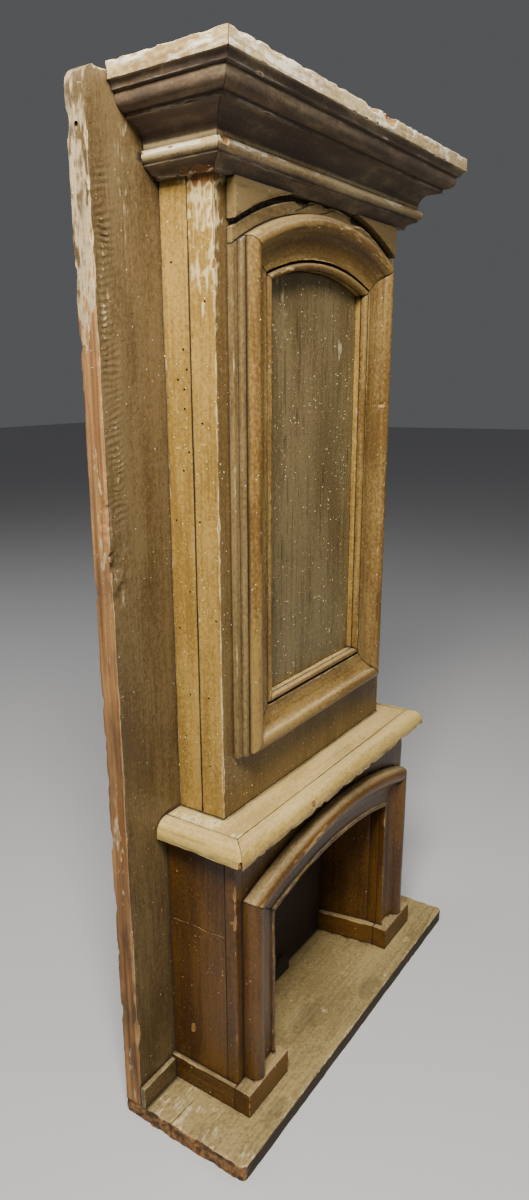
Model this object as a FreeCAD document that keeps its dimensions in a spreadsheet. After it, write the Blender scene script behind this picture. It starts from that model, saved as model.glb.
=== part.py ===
import FreeCAD, Part
import math
import os
import re

import Sketcher

# A miniature fireplace mantel, made as a joiner makes it: a hearth board and a backboard,
# a surround box with a moulded arched opening, a mantel shelf with a mitred nosing, an
# overmantel with a framed arched panel, and a mitred cornice.
# Frame: +X to the right, +Y to the back, +Z up, millimetres.
# Origin: middle of the underside of the hearth board.

document = FreeCAD.newDocument("mantel")
sheet = document.addObject("Spreadsheet::Sheet", "Sizes")

SIZES = [
    # hearth board and backboard
    ("board_width", 320.0),
    ("board_depth", 96.0),
    ("hearth_thick", 11.0),
    ("back_thick", 13.0),
    ("back_height", 606.0),
    ("skirting_height", 16.0),
    ("skirting_thick", 4.0),
    # surround; it leaves the same margin outside its moulding whatever the opening
    ("surround_width", "=opening_width + 2 * (surround_inner_flat + 2 * surround_roll_radius"
                       " - surround_roll_slack + surround_margin)"),
    ("surround_margin", 7.65),
    ("surround_depth", 53.0),
    ("surround_height", 188.0),
    ("front_thick", 8.0),
    ("side_thick", 8.0),
    ("opening_width", 168.0),
    ("opening_height", 141.7),
    ("opening_radius", 319.0),
    ("cheek_thick", 6.0),
    ("cheek_splay", 8.0),
    ("fireback_thick", 4.0),
    ("block_length", 54.0),
    ("block_depth", 6.0),
    ("block_height", 11.0),
    ("block_right_end", 14.0),
    ("plinth_height", 18.0),
    ("plinth_front_thick", 12.0),
    ("plinth_side_thick", 3.7),
    ("plinth_inner_thick", 5.5),
    ("surround_roll_radius", 6.5),
    ("surround_roll_base", 4.3),
    ("surround_roll_slack", 0.2),
    ("surround_inner_flat", 18.35),
    ("surround_fillet_width", 2.6),
    ("surround_fillet_height", 5.0),
    ("surround_groove_start", 3.3),
    ("surround_groove_end", 10.0),
    ("surround_groove_height", 3.4),
    ("surround_cove_lift", 1.9),
    ("surround_cove_radius", 13.0),
    # shelf
    ("shelf_thick", 13.0),
    ("shelf_width", "=surround_width - 2 * shelf_setback"),
    ("shelf_setback", 0.8),
    ("shelf_overhang", 1.8),
    ("nosing_width", 11.0),
    ("nosing_radius", 9.5),
    # overmantel; it leaves the same margin outside its frame whatever the panel
    ("chimney_width", "=panel_width + 2 * (frame_width + strip_width + chimney_margin)"),
    ("chimney_margin", 10.7),
    ("chimney_depth", 35.5),
    ("chimney_height", 362.0),
    ("chimney_front_thick", 17.0),
    ("batten_width", 16.0),
    ("panel_width", 116.8),
    ("panel_radius", 176.5),
    ("panel_sill", 68.0),
    ("panel_recess", 3.5),
    ("panel_thick", 6.0),
    ("panel_gap", 0.2),
    ("bead_width", 4.2),
    ("bead_height", 4.5),
    ("bead_groove", 1.2),
    ("frame_width", 29.5),
    ("frame_roll_radius", 5.0),
    ("frame_roll_base", 6.7),
    ("frame_roll_slack", 0.1),
    ("frame_fillet_width", 1.6),
    ("frame_fillet_height", 3.6),
    ("frame_cove_lift", 1.0),
    ("frame_cove_radius", 18.0),
    ("strip_width", 9.8),
    ("strip_step", 4.0),
    ("strip_bead_radius", 2.3),
    ("strip_bead_edge", 0.4),
    ("strip_bead_lift", 0.8),
    ("plate_width", 7.0),
    ("plate_thick", 4.0),
    ("spandrel_thick", 6.4),
    ("spandrel_gap", 3.4),
    # cornice
    ("cornice_height", 46.0),
    ("cornice_reach", 36.0),
    ("fascia_height", 8.0),
    ("astragal_radius", 3.0),
    ("cove_radius", 9.5),
    ("ogee_setback", 6.5),
    ("ogee_turn_setback", 3.5),
    ("ogee_turn_height", 4.0),
    ("ogee_radius", 4.5),
    ("ogee_top", 5.2),
    ("astragal_setback", 24.5),
    ("astragal_foot", 6.5),
    ("cove_start", 8.5),
    ("ledge_width", 2.8),
    ("ledge_height", 2.6),
    ("ovolo_start", 4.8),
    ("ovolo_setback", 5.2),
    ("ovolo_drop", 5.4),
    ("ovolo_radius", 5.5),
    ("cavetto_setback", 3.2),
    ("cavetto_drop", 3.6),
    ("cavetto_radius", 4.5),
    ("fascia_setback", 1.0),
    ("cap_thick", 4.0),
    # nails through the backboard
    ("nail_diameter", 2.2),
    ("nail_head_diameter", 4.6),
    ("nail_head_thick", 1.2),
    ("nail_grip", 12.0),
    ("nail_end_share", 0.08),
    # how far a cut passes the wood, and how much an arc clears its own half circle
    ("cut_margin", 1.0),
    ("arc_slack", 0.01),
]
for row, (alias, size) in enumerate(SIZES, start=1):
    sheet.set("A%d" % row, alias)
    sheet.set("B%d" % row, str(size))
    sheet.setAlias("B%d" % row, alias)
document.recompute()

# Places worked out from the sizes, as expressions.
HEARTH_TOP = "hearth_thick"
BACK_FACE = "(board_depth / 2 - back_thick)"
SURROUND_FACE = "(%s - surround_depth)" % BACK_FACE
SHELF_UNDERSIDE = "(hearth_thick + surround_height)"
SHELF_TOP = "(%s + shelf_thick)" % SHELF_UNDERSIDE
CHIMNEY_FACE = "(%s - chimney_depth)" % BACK_FACE
CORNICE_UNDERSIDE = "(%s + chimney_height)" % SHELF_TOP
TOP = "(%s + cornice_height)" % CORNICE_UNDERSIDE
FIREBACK_FACE = "(%s - fireback_thick)" % BACK_FACE

OPENING_HALF = "(opening_width / 2)"
OPENING_CENTRE = "(hearth_thick + opening_height - opening_radius)"
MOULDING_WIDTH = "(surround_inner_flat + 2 * surround_roll_radius - surround_roll_slack)"

PANEL_HALF = "(panel_width / 2)"
PANEL_CENTRE = "(%s - panel_radius - frame_width - plate_width)" % CORNICE_UNDERSIDE
PANEL_BOTTOM = "(%s + panel_sill)" % SHELF_TOP
FRAME_BOTTOM = "(%s - frame_width)" % PANEL_BOTTOM
FRAME_START = "(bead_width + bead_groove)"
STRIP_OUTER = "(%s + frame_width + strip_width)" % PANEL_HALF

LEFT, RIGHT = -1, 1
SIDES = (("left", LEFT), ("right", RIGHT))

pieces = []


def named(item, name):
    """Label a finished piece and list it for writing."""
    item.Label = name
    pieces.append(item)
    return item


def with_sheet(text):
    """Put the sheet's name before each size in an expression."""
    return re.sub(r"\b([a-z]+_[a-z_]+)\b", r"Sizes.\1", text)


def number(text):
    return float(sheet.evalExpression(with_sheet(text)))


def bind(item, place, text):
    item.setExpression(place, with_sheet(text))


def arc_height(centre, radius, across):
    """Height of an arc of this centre and radius at a distance across from the middle."""
    return "(%s + sqrt((%s) ^ 2 - (%s) ^ 2))" % (centre, radius, across)


def times(sign, text):
    return text if sign > 0 else "-(%s)" % text


def blank(name, low, size):
    """A rectangular block from its low corner and its three sides, as expressions."""
    item = document.addObject("Part::Box", name)
    for place, text in zip(("Placement.Base.x", "Placement.Base.y", "Placement.Base.z"), low):
        bind(item, place, text)
    for place, text in zip(("Length", "Width", "Height"), size):
        bind(item, place, text)
    return item


def board(name, low, size):
    """A block that is a finished piece."""
    return named(blank(name, low, size), name)


def origin_plane(owner, role):
    return [item for item in owner.Origin.OriginFeatures if item.Role == role][0]


def new_body(name):
    return named(document.addObject("PartDesign::Body", name), name)


def arc_middle(start, end, radius, side):
    """A point halfway round the shorter arc from start to end that bulges to one side."""
    chord = (end[0] - start[0], end[1] - start[1])
    length = math.hypot(*chord)
    rise = radius - math.sqrt(max(radius ** 2 - (length / 2) ** 2, 0.0))
    normal = (-chord[1] / length * side, chord[0] / length * side)
    middle = ((start[0] + end[0]) / 2, (start[1] + end[1]) / 2)
    return (middle[0] + normal[0] * rise, middle[1] + normal[1] * rise)


def outline(owner, name, role, corners, offset=("0", "0")):
    """A closed, fully dimensioned sketch on one of the body's own planes.

    Each corner is (across, up), or (across, up, radius, side) where the edge that arrives
    there is an arc that bulges to the left (+1) or to the right (-1) of its direction.
    The offset lifts the sketch off its plane and shifts it up along its own second axis.
    """
    sketch = owner.newObject("Sketcher::SketchObject", name)
    sketch.AttachmentSupport = [(origin_plane(owner, role), "")]
    sketch.MapMode = "FlatFace"
    bind(sketch, "AttachmentOffset.Base.z", offset[0])
    bind(sketch, "AttachmentOffset.Base.y", offset[1])
    places = [(number(corner[0]), number(corner[1])) for corner in corners]
    ends = []
    for index, corner in enumerate(corners):
        start, end = places[index - 1], places[index]
        first = FreeCAD.Vector(start[0], start[1], 0)
        last = FreeCAD.Vector(end[0], end[1], 0)
        if len(corner) == 2:
            edge = sketch.addGeometry(Part.LineSegment(first, last), False)
        else:
            middle = arc_middle(start, end, number(corner[2]), corner[3])
            through = FreeCAD.Vector(middle[0], middle[1], 0)
            edge = sketch.addGeometry(Part.Arc(first, through, last), False)
        forward = (sketch.getPoint(edge, 2) - last).Length < 1e-6
        ends.append((edge, 1 if forward else 2, 2 if forward else 1))
    for index, corner in enumerate(corners):
        edge, _, end_point = ends[index]
        following, start_point, _ = ends[(index + 1) % len(corners)]
        sketch.addConstraint(
            Sketcher.Constraint("Coincident", edge, end_point, following, start_point))
        for kind, text, size in zip(("DistanceX", "DistanceY"), corner, places[index]):
            made = sketch.addConstraint(
                Sketcher.Constraint(kind, -1, 1, edge, end_point, size))
            bind(sketch, "Constraints[%d]" % made, text)
        if len(corner) == 4:
            made = sketch.addConstraint(
                Sketcher.Constraint("Radius", edge, number(corner[2])))
            bind(sketch, "Constraints[%d]" % made, corner[2])
    return sketch


def pad(owner, name, sketch, length, reverse=False):
    feature = owner.newObject("PartDesign::Pad", name)
    feature.Profile = sketch
    feature.Reversed = reverse
    bind(feature, "Length", length)
    return feature


def cut_away(owner, name, corners, role):
    """Cut the outline right through the body, both ways from its plane."""
    sketch = outline(owner, name + "_lines", role, corners)
    feature = owner.newObject("PartDesign::Pocket", name)
    feature.Profile = sketch
    feature.Type = "ThroughAll"
    feature.SideType = "Symmetric"
    return feature


def plank(name, role, corners, start, length, reverse=False):
    """A body with one padded outline."""
    owner = new_body(name)
    sketch = outline(owner, name + "_outline", role, corners, (start, "0"))
    pad(owner, name + "_pad", sketch, length, reverse)
    return owner


# ---------------------------------------------------------------- hearth board and back
board("base_board", ("-board_width / 2", "-board_depth / 2", "0"),
      ("board_width", "board_depth", "hearth_thick"))
back_blank = blank("backboard_blank", ("-board_width / 2", BACK_FACE, HEARTH_TOP),
                   ("board_width", "back_thick", "back_height"))
PLINTH_OUTER = "(surround_width / 2 + plinth_side_thick)"
SKIRTING_LENGTH = "(board_width / 2 - %s)" % PLINTH_OUTER
for side, sign in SIDES:
    low_x = "-board_width / 2" if sign == LEFT else PLINTH_OUTER
    board("skirting_" + side, (low_x, "%s - skirting_thick" % BACK_FACE, HEARTH_TOP),
          (SKIRTING_LENGTH, "skirting_thick", "skirting_height"))

# ---------------------------------------------------------------- surround
SIDE_DEPTH = "(surround_depth - front_thick)"
for side, sign in SIDES:
    low_x = "-surround_width / 2" if sign == LEFT else "surround_width / 2 - side_thick"
    board("body_side_" + side, (low_x, "%s + front_thick" % SURROUND_FACE, HEARTH_TOP),
          ("side_thick", SIDE_DEPTH, "surround_height"))

SPRING = arc_height(OPENING_CENTRE, "opening_radius", OPENING_HALF)
plank("body_front", "XZ_Plane", [
    ("-surround_width / 2", HEARTH_TOP),
    ("-" + OPENING_HALF, HEARTH_TOP),
    ("-" + OPENING_HALF, SPRING),
    (OPENING_HALF, SPRING, "opening_radius", 1),
    (OPENING_HALF, HEARTH_TOP),
    ("surround_width / 2", HEARTH_TOP),
    ("surround_width / 2", SHELF_UNDERSIDE),
    ("-surround_width / 2", SHELF_UNDERSIDE),
], "-(%s + front_thick)" % SURROUND_FACE, "front_thick")

# Splayed cheeks line the opening from the front board back to the fireback.
CHEEK_FRONT = "(%s + front_thick)" % SURROUND_FACE
CHEEK_BACK_HALF = "(%s - cheek_splay)" % OPENING_HALF
for side, sign in SIDES:
    plank("cheek_" + side, "XY_Plane", [
        (times(sign, OPENING_HALF), CHEEK_FRONT),
        (times(sign, CHEEK_BACK_HALF), FIREBACK_FACE),
        (times(sign, "%s + cheek_thick" % CHEEK_BACK_HALF), FIREBACK_FACE),
        (times(sign, "%s + cheek_thick" % OPENING_HALF), CHEEK_FRONT),
    ], HEARTH_TOP, "surround_height")

board("fireback", ("-%s" % OPENING_HALF, FIREBACK_FACE, HEARTH_TOP),
      ("opening_width", "fireback_thick", "surround_height"))
board("hearth_block", ("block_right_end - block_length", "%s - block_depth" % FIREBACK_FACE,
                       HEARTH_TOP), ("block_length", "block_depth", "block_height"))

# Each jamb stands on a plinth: a front block, a strip outside and a strip inside.
PLINTH_INNER = "(%s - plinth_inner_thick)" % OPENING_HALF
PLINTH_LENGTH = "(%s - %s)" % (PLINTH_OUTER, PLINTH_INNER)
for side, sign in SIDES:
    low_x = "-" + PLINTH_OUTER if sign == LEFT else PLINTH_INNER
    board("plinth_front_" + side, (low_x, "%s - plinth_front_thick" % SURROUND_FACE,
                                   HEARTH_TOP),
          (PLINTH_LENGTH, "plinth_front_thick", "plinth_height"))
    low_x = "-" + PLINTH_OUTER if sign == LEFT else "surround_width / 2"
    board("plinth_side_" + side, (low_x, SURROUND_FACE, HEARTH_TOP),
          ("plinth_side_thick", "surround_depth", "plinth_height"))
    plank("plinth_inner_" + side, "XY_Plane", [
        (times(sign, OPENING_HALF), SURROUND_FACE),
        (times(sign, OPENING_HALF), CHEEK_FRONT),
        (times(sign, CHEEK_BACK_HALF), FIREBACK_FACE),
        (times(sign, "%s - plinth_inner_thick" % CHEEK_BACK_HALF), FIREBACK_FACE),
        (times(sign, PLINTH_INNER), SURROUND_FACE),
    ], HEARTH_TOP, "plinth_height")

# Section of the surround moulding: (distance out from the opening, height off the board).
# An inner fillet, a shallow groove, a cavetto and a bold roll.
SURROUND_SECTION = [
    ("0", "0"),
    ("0", "surround_fillet_height"),
    ("surround_fillet_width", "surround_fillet_height"),
    ("surround_groove_start", "surround_groove_height"),
    ("surround_groove_end", "surround_groove_height"),
    ("surround_inner_flat", "surround_roll_base + surround_cove_lift",
     "surround_cove_radius", -1),
    (MOULDING_WIDTH, "surround_roll_base", "surround_roll_radius", 1),
    (MOULDING_WIDTH, "0"),
]


def placed(section, across, up):
    """Turn a section into sketch corners with two functions of its distances."""
    return [(across(point[0]), up(point[1])) + tuple(point[2:]) for point in section]


def mirrored(corners):
    """The same corners for a section that is seen from its other side."""
    return [corner if len(corner) == 2 else corner[:3] + (-corner[3],) for corner in corners]


def jamb_section(section, half, face, sign):
    corners = placed(section, lambda w: times(sign, "%s + %s" % (half, w)),
                     lambda p: "%s - (%s)" % (face, p))
    return corners if sign == LEFT else mirrored(corners)


def arch_body(name, section, centre, radius, face):
    """A section turned about the arch's centre, a whole ring that is cut to its arch."""
    owner = new_body(name)
    corners = placed([(point[1], point[0]) + tuple(point[2:]) for point in section],
                     lambda p: "%s - (%s)" % (face, p), lambda w: "%s + %s" % (radius, w))
    sketch = outline(owner, name + "_section", "YZ_Plane", corners, ("0", centre))
    ring = owner.newObject("PartDesign::Revolution", name + "_ring")
    ring.Profile = sketch
    ring.ReferenceAxis = (sketch, ["H_Axis"])
    ring.Angle = 360
    return owner


def mitre_line(centre, radius, half, width):
    """Slope, and height at the middle, of the line where an arch meets its jambs."""
    inner = arc_height(centre, radius, half)
    outer = arc_height(centre, "%s + %s" % (radius, width), "%s + %s" % (half, width))
    slope = "((%s - %s) / (%s))" % (outer, inner, width)
    middle = "(%s - %s * %s)" % (inner, slope, half)
    return slope, middle


def along(line, across):
    return "(%s + %s * (%s))" % (line[1], line[0], across)


def trim_arch(owner, name, line, reach):
    """Take away the ring below its two mitres."""
    cut_away(owner, name, [
        ("0", line[1]), (reach, along(line, reach)), (reach, "-(%s)" % reach),
        ("-(%s)" % reach, "-(%s)" % reach), ("-(%s)" % reach, along(line, reach)),
    ], "XZ_Plane")


SURROUND_MITRE = mitre_line(OPENING_CENTRE, "opening_radius", OPENING_HALF, MOULDING_WIDTH)
SURROUND_TOP = along(SURROUND_MITRE, "surround_width / 2")
PLINTH_TOP = "(hearth_thick + plinth_height)"
for side, sign in SIDES:
    jamb = new_body("jamb_moulding_" + side)
    section = jamb_section(SURROUND_SECTION, OPENING_HALF, SURROUND_FACE, sign)
    lines = outline(jamb, "jamb_section_" + side, "XY_Plane", section, (PLINTH_TOP, "0"))
    pad(jamb, "jamb_pad_" + side, lines, "%s - %s" % (SURROUND_TOP, PLINTH_TOP))
    cut_away(jamb, "jamb_mitre_" + side, [
        ("0", SURROUND_MITRE[1]),
        (times(sign, "surround_width"), along(SURROUND_MITRE, "surround_width")),
        ("0", along(SURROUND_MITRE, "surround_width")),
    ], "XZ_Plane")
arch = arch_body("arch_moulding", SURROUND_SECTION, OPENING_CENTRE, "opening_radius",
                 SURROUND_FACE)
trim_arch(arch, "arch_mitres", SURROUND_MITRE, "opening_radius * 2")

# ---------------------------------------------------------------- shelf
SHELF_HALF = "(shelf_width / 2)"
SHELF_FRONT = "(%s - shelf_overhang)" % SURROUND_FACE
board("shelf_board", ("-" + SHELF_HALF, SHELF_FRONT, SHELF_UNDERSIDE),
      ("shelf_width", "surround_depth + shelf_overhang", "shelf_thick"))
NOSING_SECTION = [
    ("0", "0"),
    ("nosing_width", "0"),
    ("nosing_width", "shelf_thick - nosing_radius"),
    ("nosing_width - nosing_radius", "shelf_thick", "nosing_radius", -1),
    ("0", "shelf_thick"),
]


def return_piece(name, section, sign, half, front, floor, reach):
    """A moulding that runs back from the front corner, mitred to its neighbour."""
    owner = new_body(name)
    corners = placed(section, lambda p: times(sign, "%s + %s" % (half, p)),
                     lambda h: "%s + %s" % (floor, h))
    if sign == LEFT:
        corners = mirrored(corners)
    lines = outline(owner, name + "_section", "XZ_Plane", corners,
                    ("-(%s)" % BACK_FACE, "0"))
    pad(owner, name + "_pad", lines, "%s - (%s) + (%s)" % (BACK_FACE, front, reach))
    cut_away(owner, name + "_mitre", [
        (times(sign, "%s - cut_margin" % half), "%s + cut_margin" % front),
        (times(sign, "%s + %s + cut_margin" % (half, reach)),
         "%s - %s - cut_margin" % (front, reach)),
        (times(sign, "%s - cut_margin" % half), "%s - %s - cut_margin" % (front, reach)),
    ], "XY_Plane")
    return owner


def front_piece(name, section, half, front, floor, reach):
    """A moulding along the front, mitred at both ends."""
    owner = new_body(name)
    corners = placed(section, lambda p: "%s - (%s)" % (front, p),
                     lambda h: "%s + %s" % (floor, h))
    lines = outline(owner, name + "_section", "YZ_Plane", mirrored(corners),
                    ("-(%s + %s)" % (half, reach), "0"))
    pad(owner, name + "_pad", lines, "2 * (%s + %s)" % (half, reach))
    for side, sign in SIDES:
        cut_away(owner, "%s_mitre_%s" % (name, side), [
            (times(sign, "%s - cut_margin" % half), "%s + cut_margin" % front),
            (times(sign, "%s + %s + cut_margin" % (half, reach)), "%s + cut_margin" % front),
            (times(sign, "%s + %s + cut_margin" % (half, reach)),
             "%s - %s - cut_margin" % (front, reach)),
        ], "XY_Plane")
    return owner


for side, sign in SIDES:
    return_piece("shelf_nosing_" + side, NOSING_SECTION, sign, SHELF_HALF, SHELF_FRONT,
                 SHELF_UNDERSIDE, "nosing_width")
front_piece("shelf_nosing_front", NOSING_SECTION, SHELF_HALF, SHELF_FRONT,
            SHELF_UNDERSIDE, "nosing_width")

# ---------------------------------------------------------------- overmantel
CHIMNEY_HALF = "(chimney_width / 2)"
CAP_UNDERSIDE = "(%s - cap_thick)" % TOP
BOX_HEIGHT = "(%s - %s)" % (CAP_UNDERSIDE, SHELF_TOP)
PANEL_SPRING = arc_height(PANEL_CENTRE, "panel_radius", PANEL_HALF)
BATTEN_FACE = "(%s + chimney_front_thick)" % CHIMNEY_FACE

front = new_body("chimney_front")
lines = outline(front, "chimney_front_outline", "XZ_Plane", [
    ("-" + CHIMNEY_HALF, SHELF_TOP), (CHIMNEY_HALF, SHELF_TOP),
    (CHIMNEY_HALF, CAP_UNDERSIDE), ("-" + CHIMNEY_HALF, CAP_UNDERSIDE),
], ("-(%s)" % BATTEN_FACE, "0"))
pad(front, "chimney_front_pad", lines, "chimney_front_thick")
cut_away(front, "chimney_front_opening", [
    ("-" + PANEL_HALF, PANEL_BOTTOM), (PANEL_HALF, PANEL_BOTTOM),
    (PANEL_HALF, PANEL_SPRING), ("-" + PANEL_HALF, PANEL_SPRING, "panel_radius", -1),
], "XZ_Plane")

side_battens = []
for side, sign in SIDES:
    low_x = "-" + CHIMNEY_HALF if sign == LEFT else "%s - batten_width" % CHIMNEY_HALF
    side_battens.append(blank("batten_blank_" + side, (low_x, BATTEN_FACE, SHELF_TOP),
                              ("batten_width", "chimney_depth - chimney_front_thick",
                               BOX_HEIGHT)))

PANEL_INSET_HALF = "(%s - panel_gap)" % PANEL_HALF
PANEL_INSET_RADIUS = "(panel_radius - panel_gap)"
PANEL_INSET_SPRING = arc_height(PANEL_CENTRE, PANEL_INSET_RADIUS, PANEL_INSET_HALF)
plank("overmantel_panel", "XZ_Plane", [
    ("-" + PANEL_INSET_HALF, "%s + panel_gap" % PANEL_BOTTOM),
    (PANEL_INSET_HALF, "%s + panel_gap" % PANEL_BOTTOM),
    (PANEL_INSET_HALF, PANEL_INSET_SPRING),
    ("-" + PANEL_INSET_HALF, PANEL_INSET_SPRING, PANEL_INSET_RADIUS, -1),
], "-(%s + panel_recess + panel_thick)" % CHIMNEY_FACE, "panel_thick")

# Inner bead, then a fillet, a cavetto and a roll, all mitred round the panel.
BEAD_SECTION = [
    ("0", "0"),
    ("0", "bead_height - bead_width / 2"),
    ("bead_width", "bead_height - bead_width / 2", "bead_width / 2 + arc_slack", 1),
    ("bead_width", "0"),
]
FRAME_SECTION = [
    (FRAME_START, "0"),
    (FRAME_START, "frame_fillet_height"),
    ("%s + frame_fillet_width" % FRAME_START, "frame_fillet_height"),
    ("frame_width - 2 * frame_roll_radius + frame_roll_slack",
     "frame_roll_base + frame_cove_lift", "frame_cove_radius", -1),
    ("frame_width", "frame_roll_base", "frame_roll_radius", 1),
    ("frame_width", "0"),
]
PANEL_MITRE = mitre_line(PANEL_CENTRE, "panel_radius", PANEL_HALF, "frame_width")
PANEL_MITRE_TOP = along(PANEL_MITRE, CHIMNEY_HALF)


def framed(prefix, section):
    """Two uprights, a bottom rail and an arched head, mitred round the panel."""
    for side, sign in SIDES:
        upright = new_body("%s_%s" % (prefix, side))
        corners = jamb_section(section, PANEL_HALF, CHIMNEY_FACE, sign)
        lines = outline(upright, "%s_%s_section" % (prefix, side), "XY_Plane", corners,
                        (FRAME_BOTTOM, "0"))
        pad(upright, "%s_%s_pad" % (prefix, side), lines,
            "%s - %s" % (PANEL_MITRE_TOP, FRAME_BOTTOM))
        cut_away(upright, "%s_%s_top" % (prefix, side), [
            ("0", PANEL_MITRE[1]),
            (times(sign, "chimney_width"), along(PANEL_MITRE, "chimney_width")),
            ("0", along(PANEL_MITRE, "chimney_width")),
        ], "XZ_Plane")
        cut_away(upright, "%s_%s_foot" % (prefix, side), [
            (times(sign, "%s - cut_margin" % PANEL_HALF), "%s + cut_margin" % PANEL_BOTTOM),
            (times(sign, "%s + frame_width + cut_margin" % PANEL_HALF),
             "%s - cut_margin" % FRAME_BOTTOM),
            (times(sign, "%s - cut_margin" % PANEL_HALF), "%s - cut_margin" % FRAME_BOTTOM),
        ], "XZ_Plane")
    rail = new_body(prefix + "_bottom")
    corners = placed([(point[1], point[0]) + tuple(point[2:]) for point in section],
                     lambda p: "%s - (%s)" % (CHIMNEY_FACE, p),
                     lambda w: "%s - (%s)" % (PANEL_BOTTOM, w))
    lines = outline(rail, prefix + "_bottom_section", "YZ_Plane", mirrored(corners),
                    ("-(%s + frame_width)" % PANEL_HALF, "0"))
    pad(rail, prefix + "_bottom_pad", lines, "2 * (%s + frame_width)" % PANEL_HALF)
    for side, sign in SIDES:
        cut_away(rail, "%s_bottom_mitre_%s" % (prefix, side), [
            (times(sign, "%s - cut_margin" % PANEL_HALF), "%s + cut_margin" % PANEL_BOTTOM),
            (times(sign, "%s + frame_width + cut_margin" % PANEL_HALF),
             "%s + cut_margin" % PANEL_BOTTOM),
            (times(sign, "%s + frame_width + cut_margin" % PANEL_HALF),
             "%s - cut_margin" % FRAME_BOTTOM),
        ], "XZ_Plane")
    head = arch_body(prefix + "_head", section, PANEL_CENTRE, "panel_radius", CHIMNEY_FACE)
    trim_arch(head, prefix + "_head_mitres", PANEL_MITRE, "panel_radius * 3")


framed("panel_bead", BEAD_SECTION)
framed("panel_moulding", FRAME_SECTION)

# An outer strip stands beside each upright: a bead and a flat step.
FRAME_END = "frame_width"
STRIP_BEAD_START = "(frame_width + strip_bead_edge)"
STRIP_BEAD_END = "(%s + 2 * strip_bead_radius)" % STRIP_BEAD_START
STRIP_BEAD_BASE = "(strip_step + strip_bead_lift)"
STRIP_SECTION = [
    (FRAME_END, "0"),
    (FRAME_END, STRIP_BEAD_BASE),
    (STRIP_BEAD_START, STRIP_BEAD_BASE),
    (STRIP_BEAD_END, STRIP_BEAD_BASE, "strip_bead_radius + arc_slack", 1),
    (STRIP_BEAD_END, "strip_step"),
    ("frame_width + strip_width", "strip_step"),
    ("frame_width + strip_width", "0"),
]
HEAD_RADIUS = "(panel_radius + frame_width)"
STRIP_INNER = "(%s + frame_width)" % PANEL_HALF
STRIP_TOP_OUTER = arc_height(PANEL_CENTRE, HEAD_RADIUS, STRIP_OUTER)
STRIP_TOP_INNER = arc_height(PANEL_CENTRE, HEAD_RADIUS, STRIP_INNER)
for side, sign in SIDES:
    strip = new_body("outer_strip_" + side)
    corners = jamb_section(STRIP_SECTION, PANEL_HALF, CHIMNEY_FACE, sign)
    lines = outline(strip, "strip_section_" + side, "XY_Plane", corners, (FRAME_BOTTOM, "0"))
    pad(strip, "strip_pad_" + side, lines, "%s - %s" % (STRIP_TOP_INNER, FRAME_BOTTOM))
    cut_away(strip, "strip_top_" + side, [
        (times(sign, STRIP_INNER), STRIP_TOP_INNER),
        (times(sign, STRIP_OUTER), STRIP_TOP_OUTER, HEAD_RADIUS, sign),
        (times(sign, STRIP_OUTER), "%s + strip_width" % STRIP_TOP_INNER),
        (times(sign, STRIP_INNER), "%s + strip_width" % STRIP_TOP_INNER),
    ], "XZ_Plane")

# A flat arched plate above the roll, and a spandrel board in each top corner.
PLATE_RADIUS = "(%s + plate_width)" % HEAD_RADIUS
plank("arch_plate", "XZ_Plane", [
    ("-" + STRIP_OUTER, STRIP_TOP_OUTER),
    (STRIP_OUTER, STRIP_TOP_OUTER, HEAD_RADIUS, 1),
    (STRIP_OUTER, arc_height(PANEL_CENTRE, PLATE_RADIUS, STRIP_OUTER)),
    ("-" + STRIP_OUTER, arc_height(PANEL_CENTRE, PLATE_RADIUS, STRIP_OUTER),
     PLATE_RADIUS, -1),
], "-(%s)" % CHIMNEY_FACE, "plate_thick")

SPANDREL_RADIUS = "(%s + spandrel_gap)" % PLATE_RADIUS
SPANDREL_TIP = "sqrt(%s ^ 2 - %s ^ 2)" % (SPANDREL_RADIUS, PLATE_RADIUS)
for side, sign in SIDES:
    plank("spandrel_" + side, "XZ_Plane", [
        (times(sign, STRIP_OUTER), arc_height(PANEL_CENTRE, SPANDREL_RADIUS, STRIP_OUTER)),
        (times(sign, SPANDREL_TIP), CORNICE_UNDERSIDE, SPANDREL_RADIUS, -sign),
        (times(sign, STRIP_OUTER), CORNICE_UNDERSIDE),
    ], "-(%s)" % CHIMNEY_FACE, "spandrel_thick")

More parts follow.
